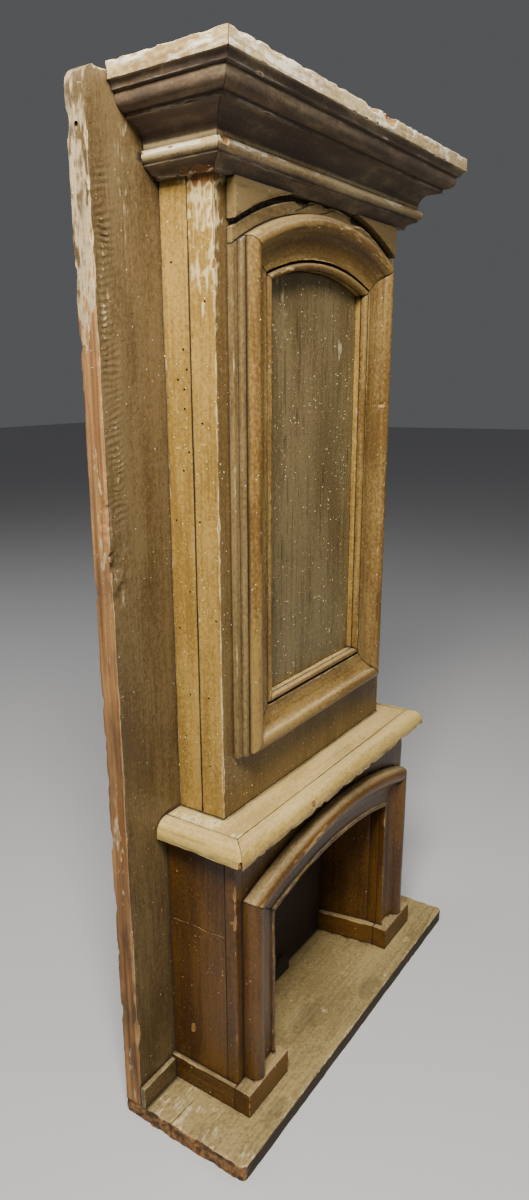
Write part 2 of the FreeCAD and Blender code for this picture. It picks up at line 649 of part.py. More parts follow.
# ---------------------------------------------------------------- cornice
# Section: (reach out from the overmantel, height above its underside). From below: a small
# ogee, an astragal, a cove, an ovolo, a small cavetto and the fascia.
ASTRAGAL_BASE = "(cornice_reach - astragal_setback)"
ASTRAGAL_HIGH = "(astragal_foot + 2 * astragal_radius)"
COVE_FOOT = "(cove_start + 2 * astragal_radius)"
COVE_TOP = "(%s + cove_radius)" % COVE_FOOT
COVE_END = "(%s + cove_radius)" % ASTRAGAL_BASE
LEDGE_TOP = "(%s + ledge_height)" % COVE_TOP
FASCIA_FOOT = "(cornice_height - fascia_height)"
CAVETTO_FOOT = "(%s - cavetto_drop)" % FASCIA_FOOT
CORNICE_SECTION = [
    ("0", "0"),
    ("%s - ogee_setback" % ASTRAGAL_BASE, "0"),
    ("%s - ogee_turn_setback" % ASTRAGAL_BASE, "ogee_turn_height", "ogee_radius", 1),
    (ASTRAGAL_BASE, "ogee_top"),
    (ASTRAGAL_BASE, "astragal_foot"),
    (ASTRAGAL_BASE, ASTRAGAL_HIGH, "astragal_radius + arc_slack", -1),
    (ASTRAGAL_BASE, COVE_FOOT),
    (COVE_END, COVE_TOP, "cove_radius", 1),
    ("%s + ledge_width" % COVE_END, COVE_TOP),
    ("%s + ledge_width" % COVE_END, LEDGE_TOP),
    ("%s + ovolo_start" % COVE_END, LEDGE_TOP),
    ("cornice_reach - ovolo_setback", "%s - ovolo_drop" % FASCIA_FOOT, "ovolo_radius", -1),
    ("cornice_reach - ovolo_setback", CAVETTO_FOOT),
    ("cornice_reach - cavetto_setback", CAVETTO_FOOT),
    ("cornice_reach - fascia_setback", FASCIA_FOOT, "cavetto_radius", 1),
    ("cornice_reach", FASCIA_FOOT),
    ("cornice_reach", "cornice_height"),
    ("0", "cornice_height"),
]
for side, sign in SIDES:
    return_piece("cornice_" + side, CORNICE_SECTION, sign, CHIMNEY_HALF, CHIMNEY_FACE,
                 CORNICE_UNDERSIDE, "cornice_reach")
front_piece("cornice_front", CORNICE_SECTION, CHIMNEY_HALF, CHIMNEY_FACE,
            CORNICE_UNDERSIDE, "cornice_reach")
board("cornice_cap", ("-" + CHIMNEY_HALF, CHIMNEY_FACE, CAP_UNDERSIDE),
      ("chimney_width", "chimney_depth", "cap_thick"))

# ---------------------------------------------------------------- nails
# Cut nails go through the backboard into the overmantel's side battens. Each fills its hole.
BATTEN_MIDDLE = "(%s - batten_width / 2)" % CHIMNEY_HALF
NAIL_HEIGHTS = ["%s + chimney_height * %s" % (SHELF_TOP, share)
                for share in ("nail_end_share", "0.5", "(1 - nail_end_share)")]


def nail(name, across, height):
    """A shank and a flat head, flush with the back."""
    rods = []
    for part, diameter, length in (
            ("shank", "nail_diameter", "back_thick + nail_grip"),
            ("head", "nail_head_diameter", "nail_head_thick")):
        rod = document.addObject("Part::Cylinder", "%s_%s" % (name, part))
        bind(rod, "Radius", "%s / 2" % diameter)
        bind(rod, "Height", length)
        rod.Placement.Rotation = FreeCAD.Rotation(FreeCAD.Vector(1, 0, 0), 90)
        bind(rod, "Placement.Base.x", across)
        bind(rod, "Placement.Base.y", "board_depth / 2")
        bind(rod, "Placement.Base.z", height)
        rods.append(rod)
    joined = document.addObject("Part::Fuse", name)
    joined.Base, joined.Tool = rods
    return joined


nails = []
for side, sign in SIDES:
    for place, height in enumerate(NAIL_HEIGHTS):
        nails.append(nail("nail_%s_%d" % (side, place), times(sign, BATTEN_MIDDLE), height))
nail_group = named(document.addObject("Part::Compound", "backboard_nails"), "backboard_nails")
nail_group.Links = nails

blanks = {"backboard": back_blank}
blanks.update(zip(("chimney_side_left", "chimney_side_right"), side_battens))
for name, uncut in blanks.items():
    bored = named(document.addObject("Part::Cut", name), name)
    bored.Base, bored.Tool = uncut, nail_group

document.recompute()

# ---------------------------------------------------------------- check and write
for item in document.Objects:
    if "Invalid" in item.State or "Error" in item.State:
        raise RuntimeError("%s did not recompute: %s" % (item.Name, item.State))
for item in pieces:
    if item.Shape.isNull() or not item.Shape.isValid() or not item.Shape.Solids:
        raise RuntimeError("%s has no valid solid" % item.Label)
    if len(item.Shape.Solids) != 1 and item is not nail_group:
        raise RuntimeError("%s came out in %d solids" % (item.Label, len(item.Shape.Solids)))

os.makedirs("parts", exist_ok=True)
for item in pieces:
    item.Shape.exportStep("parts/%s.step" % item.Label)
    box = item.Shape.BoundBox
    print("%-24s %9.1f mm3  x %7.1f %7.1f  y %6.1f %6.1f  z %6.1f %6.1f" % (
        item.Label, item.Shape.Volume, box.XMin, box.XMax,
        box.YMin, box.YMax, box.ZMin, box.ZMax))
print("pieces", len(pieces))
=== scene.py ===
# %% [markdown]
# # A miniature fireplace mantel
# The real thing is a joiner's model about 60 cm high: a hearth board and a tall backboard,
# a moulded surround with an arched opening, a mantel shelf, an overmantel with a framed
# arched panel, and a heavy cornice. It is pine under old oil paint, worn through on every
# arris and dirty in every hollow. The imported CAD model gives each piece's place and size.
# Here each piece is made again as a finer skin, so that wear, chips, cracks and wormholes
# are real shape and not a picture of it.

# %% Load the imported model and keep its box
import math
from itertools import product

import bmesh
import bpy
import numpy as np
from mathutils import Matrix, Vector
from mathutils.bvhtree import BVHTree
from mathutils.kdtree import KDTree


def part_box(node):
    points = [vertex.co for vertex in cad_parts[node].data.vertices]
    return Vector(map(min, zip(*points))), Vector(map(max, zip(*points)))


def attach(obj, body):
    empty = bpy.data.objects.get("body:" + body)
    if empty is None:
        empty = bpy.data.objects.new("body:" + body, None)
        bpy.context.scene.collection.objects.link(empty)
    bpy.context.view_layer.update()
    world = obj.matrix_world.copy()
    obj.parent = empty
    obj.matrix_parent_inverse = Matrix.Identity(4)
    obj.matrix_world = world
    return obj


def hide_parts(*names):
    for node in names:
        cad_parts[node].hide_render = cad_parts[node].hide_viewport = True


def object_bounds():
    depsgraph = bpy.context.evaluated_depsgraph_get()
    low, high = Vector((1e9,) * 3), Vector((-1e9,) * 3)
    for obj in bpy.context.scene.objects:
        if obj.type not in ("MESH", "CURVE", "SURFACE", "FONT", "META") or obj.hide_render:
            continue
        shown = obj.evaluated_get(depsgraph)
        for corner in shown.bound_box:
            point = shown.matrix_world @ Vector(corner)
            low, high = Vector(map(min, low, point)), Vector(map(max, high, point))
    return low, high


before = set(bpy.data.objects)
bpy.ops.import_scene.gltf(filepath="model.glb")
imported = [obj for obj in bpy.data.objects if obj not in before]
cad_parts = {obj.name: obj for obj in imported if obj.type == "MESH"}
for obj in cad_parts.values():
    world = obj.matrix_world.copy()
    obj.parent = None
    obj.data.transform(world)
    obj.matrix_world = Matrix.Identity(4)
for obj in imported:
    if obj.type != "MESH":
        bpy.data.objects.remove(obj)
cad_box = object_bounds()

MM = 0.001  # everything below is worked in millimetres and stored in metres
print("nodes", len(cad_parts), "box in mm", [round(v / MM) for c in cad_box for v in c])

# %% [markdown]
# ## Places
# A joiner works from a few lines: faces, floors and half widths. They are read from the
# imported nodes, so the looks follow the CAD model. An arch is fixed by its half width and by
# the heights of its springing and its crown.

# %% Read the lines from the nodes


def low(node):
    return np.array(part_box(node)[0]) / MM


def high(node):
    return np.array(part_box(node)[1]) / MM


def arc_through(half, spring, crown):
    """Height of the centre, and radius, of an arch of this half width and these heights."""
    rise = crown - spring
    radius = (half ** 2 + rise ** 2) / (2 * rise)
    return crown - radius, radius


back_face = low("backboard")[1]
surround_face = low("body_front")[1]
opening_half = low("jamb_moulding_right")[0]
jamb_width = high("jamb_moulding_right")[0] - opening_half
opening_spring = low("arch_moulding")[2]
opening_centre, opening_radius = arc_through(
    opening_half, opening_spring, high("arch_moulding")[2] - jamb_width)
chimney_face = low("chimney_front")[1]
chimney_half = high("chimney_front")[0]
FRAME_SETBACK = 5.4  # the frame starts this far out from the edge of its opening
panel_half = low("panel_moulding_right")[0] - FRAME_SETBACK
frame_width = high("panel_moulding_right")[0] - panel_half
panel_floor = high("panel_bead_bottom")[2]
panel_spring = low("panel_bead_head")[2]
panel_centre, panel_radius = arc_through(
    panel_half, panel_spring, high("panel_moulding_head")[2] - frame_width)
cornice_floor = low("cornice_front")[2]
SIDES = (("left", -1), ("right", 1))
print("opening arch %.1f about %.1f, panel arch %.1f about %.1f" % (
    opening_radius, opening_centre, panel_radius, panel_centre))

# %% [markdown]
# ## Uneven by hand
# Nothing here is machine straight. Planes leave long shallow waves and knocks leave dents,
# so a smooth random field with lumps of a chosen size is needed. It is worked out from
# position alone, with a seed, and so it is the same on every run.

# %% Smooth noise


def hashed(cell, seed):
    """A fixed random number from -1 to 1 for each whole-numbered cell."""
    x, y, z = (cell[:, axis].astype(np.int64) for axis in range(3))
    mixed = (x * 73856093) ^ (y * 19349663) ^ (z * 83492791) ^ (seed * 40503 + 977)
    mixed = ((mixed ^ (mixed >> 13)) * 1274126177) & 0x7FFFFFFF
    mixed = mixed ^ (mixed >> 16)
    return (mixed & 0xFFFF) / 32767.5 - 1


def lumps(points, size, seed):
    """Smooth noise from -1 to 1. The lumps have this size in mm, one number or one per axis."""
    place = points / np.asarray(size, float)
    cell = np.floor(place)
    part = place - cell
    part = part * part * (3 - 2 * part)
    total = np.zeros(len(points))
    for corner in product((0, 1), repeat=3):
        share = np.ones(len(points))
        for axis, side in enumerate(corner):
            share *= part[:, axis] if side else 1 - part[:, axis]
        total += share * hashed(cell + np.array(corner), seed)
    return total


def fade(value, full, none):
    """1 where the value is at or below full, 0 at or above none, smooth between."""
    share = np.clip((value - none) / (full - none), 0, 1)
    return share * share * (3 - 2 * share)


print("noise sample", np.round(lumps(np.array([[1.0, 2.0, 3.0], [40.0, 7.0, 9.0]]), 10, 1), 3))

# %% [markdown]
# ## Two ways to make a skin
# A board is a block of cells of which only the skin is kept. Rows are close together near
# the arrises, where wear needs points, and wide apart between them. Leaving cells empty
# gives a board with an opening. A moulding is a section carried along a path, and each
# point of the section may start and stop at its own place, which cuts the mitres.

# %% A board from rows of cells
NEAR_ARRIS = (0.35, 0.9, 1.8)


def rows(start, stop, step, *stops):
    """Row positions with close rows on both sides of every stop."""
    ends = [start, *sorted(stops), stop]
    made = set()
    for first, last in zip(ends, ends[1:]):
        length = last - first
        near = [gap for gap in NEAR_ARRIS if gap < length / 3]
        margin = near[-1] if near else 0
        count = max(1, round((length - 2 * margin) / step))
        made.update(np.linspace(first + margin, last - margin, count + 1).round(4))
        made.update(round(float(v), 4) for gap in near for v in (first + gap, last - gap))
        made.update((round(float(first), 4), round(float(last), 4)))
    return np.array(sorted(made))


def skin_of_cells(xs, ys, zs, filled=None):
    """Points and outward quads of the skin of a block of cells, some of them empty."""
    counts = (len(xs), len(ys), len(zs))
    solid = np.ones([c - 1 for c in counts], bool) if filled is None else filled
    padded = np.pad(solid, 1)
    quads = []
    for axis in range(3):
        ahead = np.roll(padded, -1, axis)[1:-1, 1:-1, 1:-1]
        behind = np.roll(padded, 1, axis)[1:-1, 1:-1, 1:-1]
        others = [a for a in range(3) if a != axis]
        for neighbour, step in ((ahead, 1), (behind, 0)):
            cells = np.argwhere(solid & ~neighbour)
            cells[:, axis] += step
            ring = [(0, 0), (1, 0), (1, 1), (0, 1)]
            if (step == 0) != (axis == 1):
                ring.reverse()
            corners = []
            for first, second in ring:
                corner = cells.copy()
                corner[:, others[0]] += first
                corner[:, others[1]] += second
                corners.append((corner[:, 0] * counts[1] + corner[:, 1]) * counts[2]
                               + corner[:, 2])
            quads.append(np.stack(corners, 1))
    quads = np.concatenate(quads)
    used, quads = np.unique(quads, return_inverse=True)
    quads = quads.reshape(-1, 4)
    x, rest = used // (counts[1] * counts[2]), used % (counts[1] * counts[2])
    points = np.stack([xs[x], ys[rest // counts[2]], zs[rest % counts[2]]], 1)
    return points, quads


test_points, test_quads = skin_of_cells(*(rows(0, 10, 2.5),) * 3)
print("a 10 mm cube has", len(test_points), "points and", len(test_quads), "quads")

# %% A moulding from a section and a path
# A section is a list of (out, up), or (out, up, radius, side) where the line that arrives
# there is an arc that bulges to the left (+1) or right (-1) of its direction.


def arc_points(start, end, radius, side, step):
    chord = end - start
    length = np.hypot(*chord)
    normal = np.array([-chord[1], chord[0]]) / length * side
    centre = (start + end) / 2 - normal * math.sqrt(max(radius ** 2 - length ** 2 / 4, 0))
    first, last = start - centre, end - centre
    turn = math.atan2(first[0] * last[1] - first[1] * last[0], first @ last)
    count = max(2, round(abs(turn) * radius / step))
    angles = math.atan2(first[1], first[0]) + np.linspace(0, turn, count + 1)
    return centre + radius * np.stack([np.cos(angles), np.sin(angles)], 1)


def trace(section, step=0.7):
    """The section as a closed loop of closely spaced points."""
    loop = []
    for index, corner in enumerate(section):
        start = np.array(section[index - 1][:2], float)
        end = np.array(corner[:2], float)
        if len(corner) == 4:
            piece = arc_points(start, end, corner[2], corner[3], step)
        else:
            length = np.hypot(*(end - start))
            hidden = index == 0 or (start[1] == 0 and end[1] == 0)
            piece = start + rows(0, length, 6 if hidden else step * 1.6)[:, None] / length * (
                end - start)
        loop.extend(piece[:-1])
    return np.array(loop)


def stations(length):
    """Shares of a length from 0 to 1, closer together at its two ends."""
    return rows(0, length, 2.0) / length


def skin_of_sweep(loop, shares, place):
    """Carry a loop along a path. place(out, up, share) gives the three coordinates."""
    size, count = len(loop), len(shares)
    out = np.tile(loop[:, 0], count)
    up = np.tile(loop[:, 1], count)
    share = np.repeat(shares, size)
    points = np.stack(np.broadcast_arrays(*place(out, up, share)), 1).astype(float)
    ring = np.arange(size)
    after = (ring + 1) % size
    quads = np.concatenate([
        np.stack([ring, after, after + size, ring + size], 1) + size * station
        for station in range(count - 1)])
    ends = [list(ring[::-1]), list(ring + size * (count - 1))]
    return points, quads, ends, out, up, share


print("a half round of 5 mm traces to", len(trace([(0, 0), (10, 0, 5, 1)])), "points")

# %% [markdown]
# ## Wear, dirt, painted shade and bare wood
# Paint on old joinery tells where hands and brooms have been: arrises are rubbed to the
# wood, and corners and joints are black with dirt. Hollows where other parts crowd round are
# darkened too, which is painted shade. Both follow the shape, so they are measured once on
# the skin and stored as marks on its points. A material then reads the marks.
# `wear` is 1 on an arris, `crevice` is high where other parts crowd round, and `bare` is
# set where a flake has come off.

# %% Measure a skin
FAR = 99.0
BENT = 0.9  # two faces meet at an arris or a corner where their normals agree less than this


def face_normals(points, faces):
    a, b, c, d = (points[faces[:, corner]] for corner in range(4))
    normals = np.cross(c - a, d - b)
    return normals / np.maximum(np.linalg.norm(normals, axis=1), 1e-9)[:, None]


def volume(points, quads, ends):
    a, b, c, d = (points[quads[:, corner]] for corner in range(4))
    total = (a * np.cross(b, c)).sum() + (a * np.cross(c, d)).sum()
    for end in ends:
        ring = points[end]
        total += (ring[0] * np.cross(ring[1:-1], ring[2:])).sum()
    return total / 6


def point_normals(points, quads, ends):
    normals = np.zeros_like(points)
    flat = face_normals(points, quads)
    for corner in range(4):
        np.add.at(normals, quads[:, corner], flat)
    for end in ends:
        ring = points[end]
        turned = np.cross(ring, np.roll(ring, -1, 0)).sum(0)
        normals[end] += 2 * turned / np.linalg.norm(turned)
    return normals / np.maximum(np.linalg.norm(normals, axis=1), 1e-9)[:, None]


def sharp_points(points, quads, ends):
    """Numbers of the points on outside arrises and on inside corners."""
    flat = face_normals(points, quads)
    middle = points[quads].mean(1)
    edges = np.concatenate([np.stack([quads[:, c], quads[:, (c + 1) % 4]], 1)
                            for c in range(4)])
    owner = np.tile(np.arange(len(quads)), 4)
    order = np.lexsort(np.sort(edges, 1).T)
    edges, owner = np.sort(edges, 1)[order], owner[order]
    same = np.all(edges[1:] == edges[:-1], 1)
    first, second = owner[:-1][same], owner[1:][same]
    pair = edges[:-1][same]
    bent = (flat[first] * flat[second]).sum(1) < BENT
    outside = ((middle[second] - middle[first]) * flat[first]).sum(1) < 0
    arris = set(pair[bent & outside].ravel()) | {p for end in ends for p in end}
    return sorted(arris), sorted(set(pair[bent & ~outside].ravel()))


def distance_to(points, chosen):
    if not len(chosen):
        return np.full(len(points), FAR)
    tree = KDTree(len(chosen))
    for number, point in enumerate(chosen):
        tree.insert(points[point], number)
    tree.balance()
    return np.array([tree.find(point)[2] for point in points])


def packed_tree(nodes):
    """CAD nodes as one tree for rays, in millimetres."""
    corners, faces = [], []
    for node in nodes:
        base = len(corners)
        corners += [v.co / MM for v in node.data.vertices]
        faces += [[base + i for i in f.vertices] for f in node.data.polygons]
    return BVHTree.FromPolygons(corners, faces)


node_trees = {name: packed_tree([node]) for name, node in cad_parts.items()}
ray_tree = packed_tree(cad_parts.values())
# The crevice mark takes painted shade from the blocked view, and dirt from tight gaps.
CREVICE_REACH = 12.0  # how far a crowding piece is felt, in mm
TIGHT_REACH = 1.3     # how near it has to be for a black line of dirt
RAY_TILT, RAY_COUNT, RAY_LIFT = 1.0, 5, 0.25
TOUCHING = 0.2


def crowding(points, normals):
    """How much of the view from each point is blocked close by, from 0 to 1; in the crevice mark
    this is painted shade.
    """
    side = np.cross(normals, [0.31, 0.52, 0.79])
    side /= np.maximum(np.linalg.norm(side, axis=1), 1e-9)[:, None]
    other = np.cross(normals, side)
    rays = [normals]
    for turn in np.arange(RAY_COUNT) * 2 * math.pi / RAY_COUNT:
        lean = math.cos(turn) * side + math.sin(turn) * other
        rays.append((normals + RAY_TILT * lean) / math.hypot(1, RAY_TILT))
    start = points + normals * RAY_LIFT
    blocked = np.zeros(len(points))
    tight = np.zeros(len(points))
    for direction in rays:
        for number, (origin, ray) in enumerate(zip(start, direction)):
            hit = ray_tree.ray_cast(origin, ray, CREVICE_REACH)[3]
            if hit is not None:
                blocked[number] += 1 - hit / CREVICE_REACH
                if hit < TIGHT_REACH:
                    tight[number] = max(tight[number], 1 - hit / TIGHT_REACH)
    return blocked / len(rays), tight


def joined(name, points, chosen):
    """Which of the chosen points lie against a neighbouring piece."""
    least, most = low(name) - 1.5 * TOUCHING, high(name) + 1.5 * TOUCHING
    close = [node_trees[other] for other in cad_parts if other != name
             and np.all(low(other) < most) and np.all(high(other) > least)]
    return [point for point in chosen
            if any(tree.find_nearest(points[point], TOUCHING)[0] is not None for tree in close)]


# %% [markdown]
# A flake breaks off where something knocked an arris. One could cut each by hand, but it is
# quicker to name its place, its direction and its size, and let everything that stands
# above a shallow ragged hollow be taken off. Rows of small nicks get chance places.

# %% Knock flakes off


def raise_mark(mark, title, value):
    """Bring a mark up to this value where it is lower."""
    mark[title] = np.maximum(mark[title], value)


def knock(points, mark, centre, facing, reach, depth, seed, bared=1.0):
    """Take off what stands above a shallow hollow round a place, and bare that much wood."""
    facing = np.array(facing, float) / np.linalg.norm(facing)
    offset = points - np.array(centre, float)
    rise = offset @ facing
    flat = np.linalg.norm((offset - rise[:, None] * facing) / np.asarray(reach, float), axis=1)
    flat *= 1 + 0.35 * lumps(points, 3.5, seed)
    deep = depth * np.clip(1 - flat ** 2, 0, 1) * (1 + 0.35 * lumps(points, 1.6, seed + 1))
    taken = np.where((flat < 1) & (rise > -3 * depth), np.clip(rise + deep, 0, None), 0)
    points -= taken[:, None] * facing
    fresh = np.clip(taken * 3 / depth, 0, 1)
    raise_mark(mark, "bare", bared * fresh)
    raise_mark(mark, "wear", (0.32 + 0.5 * bared) * fresh)
    mark["crevice"] *= 1 - 0.7 * fresh


def nicks(start, end, facing, count, reach, depth, seed, bared=0.15):
    """Small flakes at random places along an arris."""
    lot = np.random.default_rng(seed)
    start, end = np.array(start, float), np.array(end, float)
    made = []
    for share in np.sort(lot.random(count)):
        size = reach * (0.5 + lot.random())
        made.append((start + share * (end - start), facing, size,
                     depth * (0.5 + lot.random()), bared * 2 * lot.random()))
    return made


# %% [markdown]
# Every piece goes the same way: its skin is measured, its arrises are rubbed down and its
# faces made a little wavy, its own damage is added, and the marks are stored. A bevel and a
# bump would be quicker, but they wear every arris alike. The skin never leaves the box of
# its CAD node.

# %% Make the piece
pieces, slots = {}, {}
CREASE_ANGLE = 38
ARRIS_ROUND = 0.4        # how far from an arris its rounding reaches, in mm
RUB_REACH = 1.1          # how far hands have rubbed it down
WEAR_REACH = 1.3         # how far the paint on it is thin
SOFTENED, RUBBED_DOWN = 0.3, 0.55
PLANE_WAVE = 28          # length of the waves that a hand plane leaves
UNEVEN = 0.12            # half their height
FIBRES = (30, 2.2, 2.2)  # size of the raised grain, along it and across it


def stand_for(name, mesh, node):
    """Put a mesh in the scene as a piece that replaces its CAD node."""
    piece = bpy.data.objects.new(name, mesh)
    bpy.context.scene.collection.objects.link(piece)
    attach(piece, "root")
    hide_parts(node)
    return piece


def craft(name, skin, grain, slot, material, flakes=(), shape=None, worn=1.0, cuts=None):
    """Age a skin, store its marks, and make it stand for its CAD node."""
    points, quads, ends = skin[:3]
    seed = len(pieces) * 7 + 3
    if volume(points, quads, ends) < 0:
        quads, ends = quads[:, ::-1], [end[::-1] for end in ends]
    normals = point_normals(points, quads, ends)
    arris, corner = sharp_points(points, quads, ends)
    to_arris, to_corner = distance_to(points, arris), distance_to(points, corner)
    to_joint = distance_to(points, joined(name, points, arris))
    crowd, tight = crowding(points, normals)
    rub = np.clip(lumps(points, 22, seed) + 0.6 * lumps(points, 6, seed + 1), 0, 1.4) * worn
    sink = SOFTENED * (0.6 + 0.5 * lumps(points, 4, seed + 2))
    sink *= np.exp(-(to_arris / ARRIS_ROUND) ** 2)
    sink += RUBBED_DOWN * rub * np.exp(-(to_arris / RUB_REACH) ** 2) * (1 - np.exp(-to_joint / 2))
    wave = UNEVEN * lumps(points, PLANE_WAVE, seed + 3) + 0.05 * lumps(grain, FIBRES, seed + 4)
    moved = points - np.clip(sink + wave + UNEVEN, 0, None)[:, None] * normals
    mark = {
        "wear": np.exp(-to_arris / WEAR_REACH) * (0.5 + 0.5 * np.clip(rub, 0, 1))
        * (1 - np.exp(-to_joint / 1.2)),
        # crevice: dirt in joints, tight gaps and inside corners, and painted shade where close
        # parts block the view
        "crevice": np.clip(0.85 * crowd + 0.55 * tight + 0.4 * np.exp(-to_corner / 0.8)
                           + 0.9 * np.exp(-to_joint / 0.45), 0, 1.6),
        "bare": np.zeros(len(points))}
    if shape is not None:
        moved = shape(points, moved, mark)
    for number, flake in enumerate(flakes):
        knock(moved, mark, *flake[:4], seed + 10 + number, *flake[4:])
    moved = np.clip(moved, low(name), high(name))
    mesh = bpy.data.meshes.new(name + "_mesh")
    mesh.from_pydata(moved.tolist(), [], quads.tolist() + [[int(p) for p in e] for e in ends])
    for title, value in mark.items():
        mesh.attributes.new(title, "FLOAT", "POINT").data.foreach_set("value", value)
    shifted = (grain + np.array([seed * 41.0, seed * 13.0, seed * 5.0])) * MM
    mesh.attributes.new("grain", "FLOAT_VECTOR", "POINT").data.foreach_set(
        "vector", shifted.ravel())
    if cuts is not None:
        work = bmesh.new()
        work.from_mesh(mesh)
        work.verts.ensure_lookup_table()
        cuts(work)
        work.to_mesh(mesh)
        work.free()
    mesh.transform(Matrix.Scale(MM, 4))
    mesh.shade_smooth()
    mesh.set_sharp_from_angle(angle=math.radians(CREASE_ANGLE))
    mesh.materials.append(material)
    pieces[name], slots[name] = stand_for(name + "_aged", mesh, name), slot


def along(points, axis):
    """Grain coordinates of a board: along the grain first, then the two ways across."""
    order = [axis] + [other for other in range(3) if other != axis]
    return points[:, order]


# %% [markdown]
# ## Wormholes and cracks
# A furniture beetle leaves a clean round hole a little over a millimetre across. It is
# drilled in the mesh: one quad of the face is inset, rounded to eight sides and pushed in.
# A drying crack is cut with three planes, and its middle row is pushed down.

# %% Drill and split
HOLE_DEPTH = 1.6
WORMHOLE = 0.75   # radius
HOLE_DARK = 3.0


def drill(work, centre, facing, radius):
    """Push a round hole into the quad nearest to a place."""
    centre, facing = Vector(centre), Vector(facing)
    near = [f for f in work.faces if len(f.verts) == 4 and f.normal.dot(facing) > 0.85
            and (f.calc_center_median() - centre).length < 4]
    if not near:
        return
    face = min(near, key=lambda f: (f.calc_center_median() - centre).length)
    middle = face.calc_center_median()
    small = min(edge.calc_length() for edge in face.edges)
    radius = min(radius, 0.42 * small)
    bmesh.ops.inset_individual(work, faces=[face], thickness=0.2 * small)
    bmesh.ops.subdivide_edges(work, edges=list(face.edges), cuts=1)
    for corner in face.verts:
        spoke = corner.co - middle
        spoke -= spoke.dot(face.normal) * face.normal
        corner.co = middle + spoke.normalized() * radius
    dark = work.verts.layers.float["crevice"]
    bmesh.ops.inset_individual(work, faces=[face], thickness=0.02, depth=-HOLE_DEPTH)
    for corner in face.verts:
        corner[dark] = HOLE_DARK


def split(work, start, end, facing, width=0.5, depth=1.4, wander=0.4, seed=1):
    """Open a crack along a line on a face, deepest in its middle."""
    start, end, facing = Vector(start), Vector(end), Vector(facing)
    line = (end - start).normalized()
    across = line.cross(facing).normalized()
    length = (end - start).length

    def place(point):
        offset = point - start
        return offset.dot(line), offset.dot(across), offset.dot(facing)

    def near_faces():
        found = []
        for face in work.faces:
            if face.normal.dot(facing) > 0.6:
                run, aside, rise = place(face.calc_center_median())
                if -2 < run < length + 2 and abs(aside) < 4 and abs(rise) < 3:
                    found.append(face)
        return found

    for offset in (-0.5, 0, 0.5):
        faces = near_faces()
        geometry = {part for f in faces for part in (f, *f.edges, *f.verts)}
        bmesh.ops.bisect_plane(work, geom=list(geometry), dist=1e-4,
                               plane_co=start + across * offset * width, plane_no=across)
    dark = work.verts.layers.float["crevice"]
    for vert in {v for f in near_faces() for v in f.verts}:
        run, aside, rise = place(vert.co)
        share = 1 - abs(aside) / (0.5 * width)
        if share < -0.01 or not 0 <= run <= length:
            continue
        taper = math.sin(math.pi * run / length) ** 0.5
        shift = lumps(np.array([[run, 0.0, 0.0]]), 7, seed)[0] * wander * taper
        if share > 0.01:
            vert.co -= facing * depth * taper * share
            vert[dark] = max(vert[dark], 2.2 * taper)
        vert.co += across * shift


print("ready to craft", len(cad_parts), "nodes")

# %% [markdown]
# ## The finish
# The paint is a thin brown-olive oil colour, brushed along the grain, over a pale ground
# and then pine. Four effects make it: the brushed paint, the pine under it, the rubbing
# that shows one through the other, and the dirt, which also carries painted shade in the
# hollows. Each is a node group used by every finish with its own values. Patterns run
# along the `grain` coordinates stored on each skin, so that they follow a moulding round
# its arch.

# %% Small helpers for nodes


def add(tree, kind, inputs=None, **settings):
    made = tree.nodes.new(kind)
    for key, value in settings.items():
        setattr(made, key, value)
    for key, value in (inputs or {}).items():
        if isinstance(value, bpy.types.NodeSocket):
            tree.links.new(value, made.inputs[key])
        else:
            made.inputs[key].default_value = value
    return made


def reckon(tree, operation, first, second=0.0):
    return add(tree, "ShaderNodeMath", {0: first, 1: second}, operation=operation).outputs[0]


def times(tree, first, second):
    return reckon(tree, "MULTIPLY", first, second)


def total(tree, first, *others):
    for other in others:
        first = reckon(tree, "ADD", first, other)
    return first


def swing(tree, value, amount):
    """A noise turned to swing this much about nought."""
    return times(tree, reckon(tree, "SUBTRACT", value, 0.5), amount)


def remap(tree, value, start, stop, to_start=0.0, to_stop=1.0):
    made = add(tree, "ShaderNodeMapRange",
               {"Value": value, "From Min": start, "From Max": stop, "To Min": to_start,
                "To Max": to_stop}, interpolation_type="SMOOTHSTEP")
    return made.outputs["Result"]


def blend(tree, share, first, second, mode="MIX"):
    made = add(tree, "ShaderNodeMix", {0: share, 6: first, 7: second},
               data_type="RGBA", blend_type=mode)
    return made.outputs[2]


def cloud(tree, vector, per_metre, detail=3.0):
    """Noise with this many lumps to the metre, one number for each direction."""
    stretched = add(tree, "ShaderNodeVectorMath", {0: vector, 1: per_metre},
                    operation="MULTIPLY").outputs[0]
    return add(tree, "ShaderNodeTexNoise",
               {"Vector": stretched, "Scale": 1.0, "Detail": detail}).outputs["Fac"]


def new_group(name, inputs, outputs, kind="ShaderNodeTree"):
    """An empty node tree with named sockets, and its inner ends."""
    tree = bpy.data.node_groups.new(name, kind)
    kinds = {"v": "NodeSocketVector", "f": "NodeSocketFloat", "c": "NodeSocketColor",
             "g": "NodeSocketGeometry", "m": "NodeSocketMaterial", "i": "NodeSocketInt"}
    for direction, sockets in (("INPUT", inputs), ("OUTPUT", outputs)):
        for socket, letter in sockets.items():
            tree.interface.new_socket(socket, in_out=direction, socket_type=kinds[letter])
    return tree, tree.nodes.new("NodeGroupInput").outputs, tree.nodes.new("NodeGroupOutput").inputs


def use(tree, group, inputs):
    return add(tree, "ShaderNodeGroup", inputs, node_tree=group).outputs


